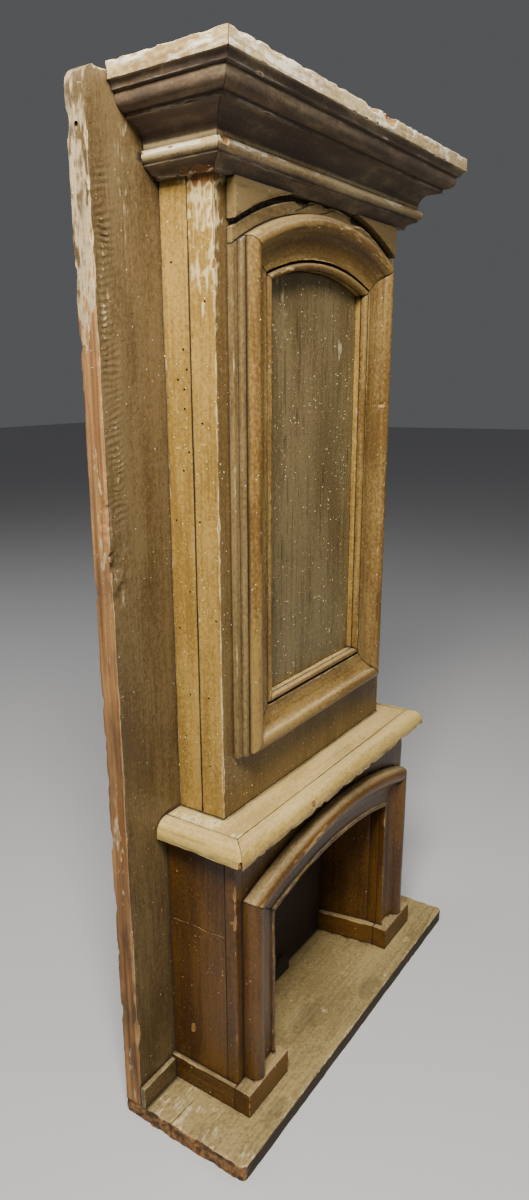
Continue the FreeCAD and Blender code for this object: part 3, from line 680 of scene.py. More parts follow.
# %% Brushed paint
brushed_paint, given, result = new_group(
    "Brushed_paint", {"Grain": "v", "Thick": "c", "Thin": "c", "Streaks": "f"},
    {"Colour": "c", "Height": "f"})
strokes = cloud(brushed_paint, given["Grain"], (13, 460, 460), 4)
patches = cloud(brushed_paint, given["Grain"], (11, 34, 34), 5)
mottle = cloud(brushed_paint, given["Grain"], (420, 560, 560), 3)
mixed = total(brushed_paint, swing(brushed_paint, strokes, given["Streaks"]),
              swing(brushed_paint, patches, 1.15), swing(brushed_paint, mottle, 0.8))
brushed_paint.links.new(
    blend(brushed_paint, remap(brushed_paint, mixed, -0.26, 0.24), given["Thin"],
          given["Thick"]), result["Colour"])
brushed_paint.links.new(
    total(brushed_paint, swing(brushed_paint, strokes, 0.6),
          total(brushed_paint, mottle, patches)), result["Height"])
print(brushed_paint.name, len(brushed_paint.nodes), "nodes")

# %% Old pine
PINE_EARLY = (0.34, 0.175, 0.055, 1)
PINE_LATE = (0.17, 0.068, 0.018, 1)
PINE_STAIN = (0.11, 0.06, 0.03, 1)
old_pine, given, result = new_group(
    "Old_pine", {"Grain": "v", "Early": "c", "Late": "c"}, {"Colour": "c", "Height": "f"})
rings = cloud(old_pine, given["Grain"], (6, 330, 330), 2)
fibre = cloud(old_pine, given["Grain"], (60, 2600, 2600), 2)
stain = cloud(old_pine, given["Grain"], (30, 90, 90), 3)
banded = remap(old_pine, total(old_pine, rings, times(old_pine, fibre, 0.35)), 0.5, 0.85)
wood = blend(old_pine, banded, given["Early"], given["Late"])
wood = blend(old_pine, remap(old_pine, stain, 0.45, 0.75, 0, 0.55), wood, PINE_STAIN)
old_pine.links.new(wood, result["Colour"])
old_pine.links.new(total(old_pine, fibre, banded), result["Height"])
print(old_pine.name, len(old_pine.nodes), "nodes")

# %% Rubbed through
rubbed, given, result = new_group(
    "Rubbed_through", {"Grain": "v", "Wear": "f", "Bare": "f", "Amount": "f"},
    {"To wood": "f", "To ground": "f", "Runs": "f"})
ragged = cloud(rubbed, given["Grain"], (130, 420, 420), 5)
drift = cloud(rubbed, given["Grain"], (16, 60, 60), 2)
level = total(rubbed, times(rubbed, given["Wear"], given["Amount"]),
              swing(rubbed, ragged, 0.9), swing(rubbed, drift, 0.8),
              times(rubbed, given["Bare"], 1.2))
rubbed.links.new(remap(rubbed, level, 0.62, 0.74), result["To wood"])
rubbed.links.new(remap(rubbed, level, 0.36, 0.58), result["To ground"])
streaky = cloud(rubbed, given["Grain"], (11, 380, 380), 3)
broken = cloud(rubbed, given["Grain"], (55, 160, 160), 3)
rubbed.links.new(times(rubbed, remap(rubbed, streaky, 0.53, 0.68),
                       remap(rubbed, broken, 0.42, 0.60)), result["Runs"])
print(rubbed.name, len(rubbed.nodes), "nodes")

# %% Old dirt with painted shade, and pale specks with painted glints
dirt_and_shade_group, given, result = new_group(
    "Dirt_and_painted_shade", {"Grain": "v", "Crevice": "f"}, {"Dirt and shade": "f", "Glint specks": "f", "Nibs": "f"})
grubby = cloud(dirt_and_shade_group, given["Grain"], (60, 150, 150), 4)
packed = total(dirt_and_shade_group, given["Crevice"], swing(dirt_and_shade_group, grubby, 0.5))
dirt_and_shade_group.links.new(remap(dirt_and_shade_group, packed, 0.12, 0.85), result["Dirt and shade"])
# Pale specks stand partly for glints on the paint, as painted highlights; nibs only raise the
# bump.
for output, per_metre, size, rarity in (("Glint specks", 330.0, 0.2, 5.0), ("Nibs", 520.0, 0.42, 2.5)):
    spots = add(dirt_and_shade_group, "ShaderNodeTexVoronoi", {"Vector": given["Grain"],
                                                   "Scale": per_metre})
    lot = add(dirt_and_shade_group, "ShaderNodeSeparateColor", {0: spots.outputs["Color"]}).outputs
    edge = times(dirt_and_shade_group, reckon(dirt_and_shade_group, "POWER", lot[0], rarity), size)
    over = reckon(dirt_and_shade_group, "SUBTRACT", edge, spots.outputs["Distance"])
    dirt_and_shade_group.links.new(remap(dirt_and_shade_group, over, 0.0, 0.06), result[output])
print(dirt_and_shade_group.name, len(dirt_and_shade_group.nodes), "nodes")

# %% A painted finish from the groups
RUN = (0.045, 0.026, 0.010, 1)
# dark colour of dirt in joints and of painted shade in crowded hollows
DIRT_AND_SHADE = (0.018, 0.012, 0.008, 1)
# pale specks: painted glints on the paint's bumps as well as pale flecks
GLINT_SPECK = (0.72, 0.66, 0.50, 1)
DUST = (0.56, 0.44, 0.22, 1)
DIRT_AND_SHADE_COVER = 0.9
RELIEF = 0.0002  # height of the brush marks, in metres
MATT = 0.82      # roughness of bare wood and dirt
SPECULAR = 0.34  # old oil paint has lost some of its shine


def marks(tree):
    """The marks stored on a skin: grain, wear, crevice and bare."""
    found = []
    for mark in ("grain", "wear", "crevice", "bare"):
        made = add(tree, "ShaderNodeAttribute", attribute_name=mark)
        found.append(made.outputs["Vector" if mark == "grain" else "Fac"])
    return found


def painted(name, thick, thin, ground, amount, gloss=0.42, glint_specks=0.5, early=PINE_EARLY,
            late=PINE_LATE, dust=0.4, streaks=0.5, runs=0.35, front_shade=(1, 1, 1), dirt_and_shade_colour=DIRT_AND_SHADE):
    """Old paint over a ground over pine, rubbed by this amount.

    The forward tint darkens the faces that look to the front; it is painted shade.
    """
    material = bpy.data.materials.new(name)
    material.use_nodes = True
    tree = material.node_tree
    shader = tree.nodes["Principled BSDF"]
    shader.inputs["Specular IOR Level"].default_value = SPECULAR
    grain, wear, crevice, bare = marks(tree)
    coat = use(tree, brushed_paint, {"Grain": grain, "Thick": (*thick, 1), "Thin": (*thin, 1),
                                      "Streaks": streaks})
    pine = use(tree, old_pine, {"Grain": grain, "Early": early, "Late": late})
    rub = use(tree, rubbed, {"Grain": grain, "Wear": wear, "Bare": bare, "Amount": amount})
    grime_and_shade = use(tree, dirt_and_shade_group, {"Grain": grain, "Crevice": crevice})
    facing = add(tree, "ShaderNodeNewGeometry").outputs["Normal"]
    turned = add(tree, "ShaderNodeSeparateXYZ", {0: facing}).outputs
    front_facing = remap(tree, times(tree, turned["Y"], -1), 0.5, 0.9)
    colour = blend(tree, front_facing, coat["Colour"],
                   blend(tree, 1.0, coat["Colour"], (*front_shade, 1), "MULTIPLY"))
    settled = times(tree, remap(tree, turned["Z"], 0.45, 0.95),
                    remap(tree, coat["Height"], 0.7, 1.3, 0.5 * dust, dust))
    for share, over in ((times(tree, rub["Runs"], runs), RUN),
                        (times(tree, rub["To ground"], 0.7), (*ground, 1)),
                        (rub["To wood"], pine["Colour"]),
                        (times(tree, grime_and_shade["Glint specks"], glint_specks), GLINT_SPECK),
                        (settled, DUST),
                        (times(tree, grime_and_shade["Dirt and shade"], DIRT_AND_SHADE_COVER), dirt_and_shade_colour)):
        colour = blend(tree, share, colour, over)
    tree.links.new(colour, shader.inputs["Base Color"])
    dull = reckon(tree, "MAXIMUM", rub["To wood"], grime_and_shade["Dirt and shade"])
    tree.links.new(remap(tree, dull, 0, 1, gloss, MATT), shader.inputs["Roughness"])
    height = reckon(tree, "SUBTRACT", coat["Height"], times(tree, rub["To wood"], 1.2))
    height = total(tree, height, times(tree, pine["Height"], rub["To wood"]),
                   times(tree, grime_and_shade["Nibs"], 1.2))
    bump = add(tree, "ShaderNodeBump", {"Strength": 0.8, "Distance": RELIEF,
                                        "Height": height})
    tree.links.new(bump.outputs["Normal"], shader.inputs["Normal"])
    return material


# The olive gets painted shade on its front faces through its front tint.
olive = painted("olive_gold_paint", (0.345, 0.22, 0.056), (0.205, 0.12, 0.025),
                (0.66, 0.53, 0.27), 1.25, front_shade=(0.46, 0.46, 0.62))
# This grey olive is the olive darkened as painted shade, for pieces that face the front.
margin = painted("olive_paint_in_front_shade", (0.19, 0.13, 0.05), (0.10, 0.062, 0.021),
                 (0.55, 0.42, 0.20), 0.8)
frame_gold = painted("golden_brown_paint", (0.235, 0.15, 0.043), (0.11, 0.058, 0.013),
                     (0.58, 0.40, 0.14), 0.85, runs=0.6, gloss=0.36)
panel_green = painted("grey_green_paint", (0.16, 0.12, 0.052), (0.10, 0.07, 0.027),
                      (0.56, 0.48, 0.29), 0.6, runs=0.75, glint_specks=0.8, streaks=0.6, gloss=0.36)
khaki = painted("khaki_brown_paint", (0.13, 0.088, 0.038), (0.07, 0.044, 0.017),
                (0.54, 0.42, 0.25), 1.0, late=(0.155, 0.066, 0.018, 1),
                early=(0.33, 0.175, 0.06, 1), gloss=0.36)
umber = painted("dark_umber_paint", (0.105, 0.046, 0.0065), (0.042, 0.017, 0.003),
                (0.42, 0.27, 0.09), 0.8, gloss=0.33, dust=0.45)
hearth_brown = painted("hearth_olive_paint", (0.18, 0.125, 0.036), (0.085, 0.054, 0.015),
                       (0.64, 0.54, 0.33), 0.85, dust=0.35, runs=0.6,
                       late=(0.13, 0.055, 0.016, 1), early=(0.30, 0.155, 0.05, 1))
cream = painted("cream_shelf_paint", (0.50, 0.355, 0.105), (0.31, 0.20, 0.05),
                (0.76, 0.66, 0.42), 0.9, glint_specks=0.25, dust=0.45, runs=0.3, gloss=0.38)
# The cornice's dark purple-brown dirt colour is mostly painted shade under its mouldings.
cornice_paint = painted("dusty_cornice_paint", (0.48, 0.37, 0.19), (0.25, 0.16, 0.065),
                        (0.84, 0.78, 0.63), 1.1, dirt_and_shade_colour=(0.046, 0.030, 0.027, 1), dust=0.9)
near_black_finish = painted("soot_black", (0.030, 0.016, 0.008), (0.014, 0.008, 0.005),
               (0.06, 0.04, 0.02), 0.4, gloss=0.7, glint_specks=0.0, dust=0.05)
pine_bare = painted("bare_old_pine", (0.34, 0.19, 0.07), (0.24, 0.12, 0.035),
                    (0.36, 0.21, 0.09), 3.0, gloss=0.7)
print("finishes", len(bpy.data.materials))

# %% [markdown]
# ## The boards
# Each board is a block of cells with its grain along its length. The hearth board, the
# backboard and the side boards show the most, so they get the closest rows.

# %% Board makers


def board(name, axis, steps, slot, material, **extra):
    """A board between its node's corners, with its grain along the given axis.

    A step may be a ready list of rows instead of a distance.
    """
    lowest, highest = low(name), high(name)
    spans = [rows(lowest[a], highest[a], step) if np.isscalar(step) else step
             for a, step in enumerate(steps)]
    skin = skin_of_cells(*spans)
    craft(name, (*skin, []), along(skin[0], axis), slot, material, **extra)


def shaped_board(name, axis, spans, bend, slot, material, filled=None, **extra):
    """A board of cells bent to its outline before it is aged."""
    points, quads = skin_of_cells(*spans, filled)
    points = bend(points)
    craft(name, (points, quads, []), along(points, axis), slot, material, **extra)


def patch(points, mark, title, centre, size, strength, seed):
    """Raise a mark in a ragged round patch."""
    offset = (points - np.array(centre, float)) / np.asarray(size, float)
    away = np.linalg.norm(offset, axis=1) * (1 + 0.5 * lumps(points, 5, seed))
    raise_mark(mark, title, strength * fade(away, 0.35, 1))


# %% [markdown]
# The hearth board has a crumbled end, where the end grain took every knock, a crack that
# ran in from that end, and patches where the paint was scrubbed thin. Its front edge is
# made darker.

# %% Hearth board
WORN_SPOTS = ((-15, -22, 9), (55, 0, 4), (-22, -34, 7), (-18, 4, 5), (49, -43, 6),
              (-8, -27, 5), (-30, -27, 5), (100, -40, 7), (-100, -42, 9))
DARK_SPOTS = ((-25, -12, 34), (95, -10, 26), (-112, -40, 20), (30, -38, 26))
hearth_low, hearth_high = low("base_board"), high("base_board")
hearth_end, hearth_front, hearth_top = np.round(
    (hearth_high[0], hearth_low[1], hearth_high[2]), 3)


def pale_in_patches(points, mark, share, strength, seed):
    """Let the pale ground show where the share is high, in fine broken patches."""
    broken = 0.75 + 0.5 * lumps(points, (7, 7, 16), seed)
    broken += 0.4 * lumps(points, (2.5, 2.5, 5), seed + 1)
    raise_mark(mark, "wear", strength * share * np.clip(broken, 0, 1.25))


def worn_hearth(points, moved, mark):
    x, y, z = points.T
    top = hearth_high[2]
    crumble = np.clip(0.5 + lumps(points, (3, 6, 2.4), 41)
                      + 0.6 * lumps(points, (2, 2.6, 1.5), 42), 0, 1.7)
    for sign in (-1, 1):
        from_end = hearth_high[0] - sign * x
        at_end = fade(from_end, 0.05, 1.6)
        moved[:, 0] -= sign * crumble * at_end * 0.9
        raise_mark(mark, "bare", 0.8 * fade(from_end, 0.1, 0.9))
        raise_mark(mark, "crevice", at_end * (0.3 + 0.4 * (crumble > 0.8)))
    raise_mark(mark, "bare", 0.95 * fade(z, 0.05, 0.5))
    front = fade(y - hearth_low[1], 0.1, 0.8) * fade(z, top - 1.2, top - 0.2)
    raise_mark(mark, "crevice", 0.8 * front)
    pale_in_patches(points, mark, fade(x, -150, -100), 0.46, 171)
    for title, spots, narrow, strength, seed in (("wear", WORN_SPOTS, 0.7, 0.5, 60),
                                                 ("crevice", DARK_SPOTS, 0.45, 0.42, 71)):
        for number, (spot_x, spot_y, size) in enumerate(spots):
            patch(points, mark, title, (spot_x, spot_y, top), (size, size * narrow, 4),
                  strength, seed + number)
    return moved


hearth_flakes = [((-hearth_end, hearth_front, 5), (-1, -1, 0), (9, 9, 40), 2.6, 0.6),
                 ((hearth_end, hearth_front, 5), (1, -1, 0), (7, 7, 40), 1.8, 0.6)]
hearth_flakes += nicks((-150, hearth_front, hearth_top), (155, hearth_front, hearth_top),
                       (0, -1, 1), 34, 5.5, 0.9, 1)
for sign, count, depth, seed in ((-1, 16, 1.3, 2), (1, 10, 1.0, 3)):
    hearth_flakes += nicks((sign * hearth_end, -44, hearth_top),
                           (sign * hearth_end, 30, hearth_top), (sign, 0, 1), count, 4,
                           depth, seed)


def hearth_cuts(work):
    split(work, (-hearth_end - 0.2, 10.5, hearth_top), (-137, 9, hearth_top), (0, 0, 1),
          width=0.7, depth=2.2)
    split(work, (-hearth_end, 10.4, hearth_top - 0.2), (-hearth_end, 9.6, 1), (-1, 0, 0),
          width=0.7, depth=1.4)
    split(work, (118, -46, hearth_top), (150, -43, hearth_top), (0, 0, 1), width=0.4,
          depth=1.2, seed=5)


board("base_board", 0, (2.2, 2.2, 2.2), "surround_paint", hearth_brown, worn=1.3,
      shape=worn_hearth, flakes=hearth_flakes, cuts=hearth_cuts)

# %% [markdown]
# The backboard is the roughest piece. Its left edge was never painted. Beside that edge
# the saw has left ripples across the grain, lower down a knot has torn out, and the top
# corner is rounded off.

# %% Backboard
back_low, back_high = low("backboard"), high("backboard")
back_edge, back_top = np.round((back_high[0], back_high[2]), 3)
back_front, back_rear = np.round((back_low[1], back_high[1]), 3)
KNOT_FLAKES = [((-back_edge, back_front, 398), (-1, -1, 0.2), (9, 9, 15), 2.4, 0.0),
               ((-154, back_front, 377), (-0.3, -1, 0), (5, 6, 9), 2.0, 0.0),
               ((-152, back_front, 362), (0, -1, 0), (5, 4, 7), 1.6, 0.0),
               ((-149, back_front, 388), (0, -1, 0), (4, 4, 6), 1.0, 0.0)]
KNOT_X, KNOT_Z = -153, 378
RIPPLE_X, RIPPLE_Z, RIPPLE_PITCH = -151, 489, 3.3
SAW_MARKS = 7      # from one saw mark to the next, on the back face
CORNER_ROUND = 9.0


def rough_back(points, moved, mark):
    x, y, z = points.T
    on_front = y < back_front + 1
    for sign in (-1, 1):
        from_edge = back_high[0] - sign * x
        ragged = 0.5 + 0.9 * lumps(points, (50, 50, 12), 51)
        bare_share = 0.72 * (1 - fade(-z, -545, -440))
        at_edge = fade(from_edge, 0.15, 0.4 + np.clip(ragged, 0, 2))
        raise_mark(mark, "bare", bare_share * at_edge)
        raise_mark(mark, "wear", 0.48 * at_edge * fade(-z, -520, -410))
    # the upper part of the front is made paler: painted light
    pale_in_patches(points, mark, fade(-z, -600, -430) * (y < back_low[1] + 2), 0.28, 173)
    behind = fade(back_high[1] - y, 0.05, 0.4)
    drips = fade(np.minimum(back_high[0] - np.abs(x), back_high[2] - z), 2, 9)
    drips *= np.clip(0.5 + lumps(points, (9, 9, 14), 57), 0, 1)
    raise_mark(mark, "bare", 0.95 * behind * (1 - 0.7 * drips))
    mark["crevice"] += behind * np.clip(0.1 + 0.35 * lumps(points, (60, 60, 90), 58)
                                        + 0.25 * lumps(points, (12, 9, 60), 59), 0, 0.6)
    sawn = np.sin(2 * math.pi * (z + 0.002 * x ** 2) / SAW_MARKS)
    moved[:, 1] -= behind * 0.25 * (0.5 + 0.5 * sawn)
    on_edge = fade(back_high[0] - np.abs(x), 0.05, 0.3)
    stain = 0.12 + 0.24 * fade(z, 90, 330) + 0.4 * lumps(points, (9, 5, 46), 52)
    mark["crevice"] += on_edge * np.clip(stain, 0, 0.8)
    moved[:, 0] -= np.sign(x) * on_edge * 0.5 * np.clip(lumps(points, (9, 5, 26), 54), 0, 1)
    band = fade(np.abs(x - RIPPLE_X), 3, 9) * fade(np.abs(z - RIPPLE_Z), 78, 100)
    band *= on_front
    band *= np.clip(0.75 + 0.6 * lumps(points, (5, 50, 13), 55), 0.15, 1.2)
    phase = z + 2.4 * lumps(points, (6, 50, 7), 53) - 0.25 * x
    ripple = 0.5 + 0.5 * np.sin(2 * math.pi * phase / RIPPLE_PITCH)
    moved[:, 1] += 0.7 * band * ripple
    mark["crevice"] += 0.3 * band * ripple
    raise_mark(mark, "wear", 0.42 * band * (1 - ripple))
    knotty = fade(np.hypot((x - KNOT_X) / 11, (z - KNOT_Z) / 30), 0.5, 1) * on_front
    moved[:, 1] += 0.5 * knotty * np.clip(0.6 + lumps(points, (3.2, 9, 4.5), 56), 0, 1.6)
    for number, flake in enumerate(KNOT_FLAKES):
        patch(points, mark, "crevice", flake[0], np.array(flake[2]) * 0.8, 0.4, 81 + number)
    for sign in (-1, 1):
        across = sign * moved[:, 0] - (back_high[0] - CORNER_ROUND)
        upward = moved[:, 2] - (back_high[2] - CORNER_ROUND)
        away = np.hypot(across, upward)
        over = (across > 0) & (upward > 0) & (away > CORNER_ROUND)
        excess = 1 - CORNER_ROUND / np.maximum(away, 1e-6)
        moved[over, 0] -= sign * (across * excess)[over]
        moved[over, 2] -= (upward * excess)[over]
    return moved


RIPPLED = (340, 585)    # the heights between which the rows are close
RIPPLED_EDGE = -142
back_xs = np.concatenate([rows(-back_edge, RIPPLED_EDGE, 1.6)[:-1],
                          rows(RIPPLED_EDGE, back_edge, 6)])
back_zs = np.concatenate([rows(back_low[2], RIPPLED[0], 3)[:-1], np.arange(*RIPPLED, 0.95),
                          rows(RIPPLED[1], back_high[2], 3)])


def edge_nicks(sign, y, foot, head, *rest):
    """Nicks up an edge of the backboard, in its front or its rear arris."""
    aside = -1 if y == back_front else 1
    return nicks((sign * back_edge, y, foot), (sign * back_edge, y, head), (sign, aside, 0),
                 *rest)


back_flakes = KNOT_FLAKES + edge_nicks(-1, back_front, 20, 600, 44, 4.5, 0.9, 4)
back_flakes += edge_nicks(-1, back_front, 60, 250, 10, 9, 1.6, 5, 0.4)
back_flakes += edge_nicks(1, back_front, 20, 600, 26, 5, 1.0, 6)
back_flakes += nicks((-150, back_front, back_top), (150, back_front, back_top), (0, -1, 1),
                     16, 5, 0.9, 7)
back_flakes += edge_nicks(-1, back_rear, 20, 600, 18, 6, 1.4, 8)
back_flakes += edge_nicks(1, back_rear, 20, 600, 18, 6, 1.4, 9)


def back_cuts(work):
    drill(work, (-back_edge, 42, 590), (-1, 0, 0), 2 * WORMHOLE)
    for z in (86, 262, 433, 505):
        drill(work, (back_edge, 41, z), (1, 0, 0), 0.7)
    split(work, (-40, back_rear, back_top), (-33, back_rear, 520), (0, 1, 0), width=0.6,
          depth=2)
    split(work, (75, back_rear, 12), (70, back_rear, 120), (0, 1, 0), width=0.6, depth=2,
          seed=3)


board("backboard", 2, (back_xs, 3.2, back_zs), "backboard_paint", khaki, worn=1.2,
      shape=rough_back, flakes=back_flakes, cuts=back_cuts)

# %% [markdown]
# The side boards of the surround show a slanting crack near the top, a fine upright one
# lower down, and a row of chips on the front arris.

# %% Surround boards
side_face = high("body_side_right")[0]


def side_cuts(work, sign):
    if sign > 0:
        split(work, (side_face, -9, 60), (side_face, 30, 68), (1, 0, 0), depth=1.0)
        return
    split(work, (-side_face, 34, 136.9), (-side_face, -10, 138.6), (-1, 0, 0), width=0.6,
          depth=1.2, wander=0.9)
    split(work, (-side_face, 11.5, 101), (-side_face, 12.6, 48), (-1, 0, 0), width=0.35,
          depth=0.8, seed=2)


for side, sign in SIDES:
    board("skirting_" + side, 0, (2.5, 2, 2.5), "backboard_paint", khaki)
    board("body_side_" + side, 2, (3, 2.2, 2.2), "surround_paint", umber,
          flakes=[((sign * side_face, 17.5, 56), (sign, 0, 0), (2, 2, 3), 0.7)],
          cuts=lambda work: side_cuts(work, sign))
    board("plinth_front_" + side, 0, (2, 2.5, 2), "surround_paint", umber, worn=1.3,
          flakes=nicks((sign * 80, -30, 29), (sign * 126, -30, 29), (0, -1, 1), 7, 3, 0.7, 11))
    board("plinth_side_" + side, 1, (2, 2, 2), "surround_paint", umber, worn=1.3)

# %% [markdown]
# Each side of the overmantel is two planks, and the joint between them has opened as they
# dried. The gap is real: the edges of both skins are drawn back from the line they share.
# Under the cornice the paint is flecked with bare ground, and a beetle has been at work.

# %% Overmantel sides
JOINT_TOP = 530.0
FLECK_FROM, FLECK_FULL = 440, 575


def open_joint(direction, joint):
    """Shrink the planks' edges back from the joint that they share on the side."""
    def shape(points, moved, mark):
        x, y, z = points.T
        near = fade(np.abs(y - joint), 0.1, 0.5)
        run = fade(z, JOINT_TOP, JOINT_TOP + 25)
        moved[:, 1] += direction * 0.3 * near * run * (0.7 + 0.6 * lumps(points, (5, 5, 30), 91))
        mark["crevice"] += 0.9 * near * run
        orange = fade(cornice_floor - z, 1.5, 5) * (z < cornice_floor + 1)
        raise_mark(mark, "bare", 0.4 * orange)
        if direction < 0:
            near_front = fade(np.abs(x), 0, 1) + fade(np.abs(np.abs(x) - chimney_half), 1, 14)
            rubbed_high = fade(-z, -FLECK_FULL, -FLECK_FROM) * near_front
            flecked = 0.4 + 0.4 * lumps(points, (2.5, 2.5, 4), 92)
            flecked += 0.3 * lumps(points, (9, 9, 30), 93)
            raise_mark(mark, "wear", np.clip(rubbed_high * flecked, 0, 0.42))
        broken = np.clip(0.5 + lumps(points, (5, 5, 7), 94), 0, 1)
        raise_mark(mark, "wear", 0.85 * broken * fade(back_low[1] - y, 0.3, 1.5))
        return moved
    return shape


joint_depth = low("chimney_side_left")[1]
WORMHOLES = [(20.8, 491.6), (19.8, 479.2), (25.6, 474), (22, 469), (20.6, 458.6), (19.5, 436.4),
             (27.2, 535), (24.6, 426), (31, 398), (21, 356), (29, 331), (24, 290), (27, 262)]
FRONT_WORMHOLES = [(5.9, 515), (9, 452), (12, 398), (8.6, 290), (4, 340), (11, 246)]


def side_holes(work, sign, places):
    for y, z in places:
        drill(work, (sign * chimney_half, y, z), (sign, 0, 0), WORMHOLE)


def front_holes(work):
    for sign in (-1, 1):
        side_holes(work, sign, FRONT_WORMHOLES)


other_wormholes = [(joint_depth * 2 - y + 4, z) for y, z in WORMHOLES]
for (side, sign), places in zip(SIDES, (WORMHOLES, other_wormholes)):
    board("chimney_side_" + side, 2, (3, 2.2, 2.6), "overmantel_paint", olive,
          shape=open_joint(1, joint_depth), cuts=lambda work: side_holes(work, sign, places))
# The fireback and the block at its foot are near black all over.
board("fireback", 0, (6, 2, 6), "soot_black", near_black_finish)
board("hearth_block", 0, (2, 2, 2), "soot_black", near_black_finish)


def shelf_paler_to_left(points, moved, mark):
    pale_in_patches(points, mark, fade(points[:, 0], -110, -60), 0.5, 177)
    return moved


board("shelf_board", 0, (2.4, 2.4, 3), "shelf_paint", cream, shape=shelf_paler_to_left)
board("cornice_cap", 0, (4, 3, 2), "bare_pine", pine_bare)
print("boards", len(pieces))

# %% [markdown]
# The cheeks splay, so their cells are pushed sideways by how far back they are. The front
# boards have openings: the cells of the opening stay empty, and the rows above it are
# squeezed up to the curve of the arch.

# %% Cheeks and inner plinths
splay = opening_half - low("cheek_right")[0]
cheek_front, cheek_back = low("cheek_right")[1], high("cheek_right")[1]
cheek_thick = high("cheek_right")[0] - opening_half


def lining(y):
    """Half width of the lined opening at this depth."""
    share = np.clip((y - cheek_front) / (cheek_back - cheek_front), 0, 1)
    return opening_half - splay * share


def plinth_lining(y):
    start, stop = low("plinth_inner_right")[1], high("plinth_inner_right")[1]
    share = (y - start) / (stop - start)
    first = low("plinth_front_right")[0]
    return first + (low("plinth_inner_right")[0] - first) * share


def cheek_bend(sign):
    def bend(p):
        return np.stack([sign * (lining(p[:, 1]) + p[:, 0]), p[:, 1], p[:, 2]], 1)
    return bend


def inner_plinth_bend(sign):
    def bend(p):
        inner, outer = plinth_lining(p[:, 1]), lining(p[:, 1])
        return np.stack([sign * (inner + p[:, 0] * (outer - inner)), p[:, 1], p[:, 2]], 1)
    return bend


for side, sign in SIDES:
    floor, top = low("cheek_" + side)[2], high("cheek_" + side)[2]
    shaped_board("cheek_" + side, 2, (
        rows(0, cheek_thick, 2.5), rows(cheek_front, cheek_back, 3), rows(floor, top, 3)),
        cheek_bend(sign), "surround_paint", umber)
    name = "plinth_inner_" + side
    shaped_board(name, 1, (
        rows(0, 1, 0.34), rows(low(name)[1], high(name)[1], 2.2, cheek_front),
        rows(low(name)[2], high(name)[2], 2)), inner_plinth_bend(sign), "surround_paint", umber)


# %% [markdown]
# The fronts of the surround and of the overmantel are single boards with an arched hole.
# A boolean would cut them too, but it leaves no rows beside the edge for the wear to bend.

# %% Front boards with arched openings


def arch_at(centre, radius, across):
    return centre + np.sqrt(radius ** 2 - np.minimum(np.abs(across), radius * 0.99) ** 2)


def front_board(name, axis, half, centre, radius, sill, spring, step, slot, material,
                **extra):
    """A board with an arched opening that starts at the sill."""
    lowest, highest = low(name), high(name)
    xs = rows(lowest[0], highest[0], step, -half, half)
    ys = rows(lowest[1], highest[1], 3)
    stops = (spring,) if sill <= lowest[2] + 0.1 else (sill, spring)
    zs = rows(lowest[2], highest[2], step, *stops)
    middle = [(v[1:] + v[:-1]) / 2 for v in (xs, ys, zs)]
    hole = ((np.abs(middle[0]) < half)[:, None, None]
            & ((middle[2] > sill) & (middle[2] < spring))[None, None, :])
    filled = ~np.broadcast_to(hole, [len(m) for m in middle])

    def bend(p):
        share = np.clip((p[:, 2] - spring) / (highest[2] - spring), 0, 1)
        foot = np.where(np.abs(p[:, 0]) < half, arch_at(centre, radius, p[:, 0]), spring)
        raised = foot + share * (highest[2] - foot)
        above = p[:, 2] > spring - 0.01
        return np.stack([p[:, 0], p[:, 1], np.where(above, raised, p[:, 2])], 1)

    shaped_board(name, axis, (xs, ys, zs), bend, slot, material, filled, **extra)


front_board("body_front", 2, opening_half, opening_centre, opening_radius,
            low("body_front")[2], opening_spring, 3, "surround_paint", umber,
            flakes=nicks((-side_face, -18, 142), (-side_face, -18, 176), (-1, -1, 0),
                         9, 4, 1.1, 12, 0.5)
            + nicks((-side_face, -18, 32), (-side_face, -18, 140), (-1, -1, 0),
                    9, 2.5, 0.6, 13))
front_board("chimney_front", 2, panel_half, panel_centre, panel_radius,
            panel_floor, panel_spring, 2.6, "overmantel_paint", olive,
            shape=open_joint(-1, joint_depth), cuts=front_holes,
            flakes=[((-chimney_half, chimney_face, 532), (-1, -1, 0), (2.5, 2.5, 3), 1.1)]
            + nicks((-chimney_half, chimney_face, 215), (-chimney_half, chimney_face, 570),
                    (-1, -1, 0), 80, 2.6, 0.55, 14)
            + nicks((chimney_half, chimney_face, 215), (chimney_half, chimney_face, 570),
                    (1, -1, 0), 30, 3, 0.7, 15))

# %% [markdown]
# The panel, the plate over the frame and the two spandrels have curved edges. Each is a
# plain block of cells stretched between a lower and an upper edge, so that its rows follow
# the curve. A flat board cut with a boolean would leave long thin faces there.

# %% The panel, the arched plate and the spandrels


def between(name, below, above, xs, slot, material, axis=2, step=3.0, **extra):
    """A board whose lower and upper edges are given as functions of the distance across."""
    lowest, highest = low(name), high(name)
    height = highest[2] - lowest[2]

    def bend(p):
        foot, head = below(p[:, 0]), above(p[:, 0])
        return np.stack([p[:, 0], p[:, 1], foot + p[:, 2] / height * (head - foot)], 1)

    spans = (xs, rows(lowest[1], highest[1], 2.5), rows(0, height, step))
    shaped_board(name, axis, spans, bend, slot, material, **extra)


panel_low, panel_high = low("overmantel_panel"), high("overmantel_panel")
inset_radius = panel_radius - (panel_half - panel_high[0])
PANEL_SPOTS = ((30, 300), (-20, 288), (45, 300), (10, 330), (38, 318))


def streaked_panel(points, moved, mark):
    # the upper part of the panel is made paler: painted light
    pale_in_patches(points, mark, fade(-points[:, 2], -520, -380), 0.28, 175)
    patch(points, mark, "wear", (36.8, panel_low[1], 493), (5, 9, 9), 0.95, 101)
    for number, (x, z) in enumerate(PANEL_SPOTS):
        patch(points, mark, "wear", (x, panel_low[1], z), (2.2, 5, 3), 0.8, 102 + number)
    return moved


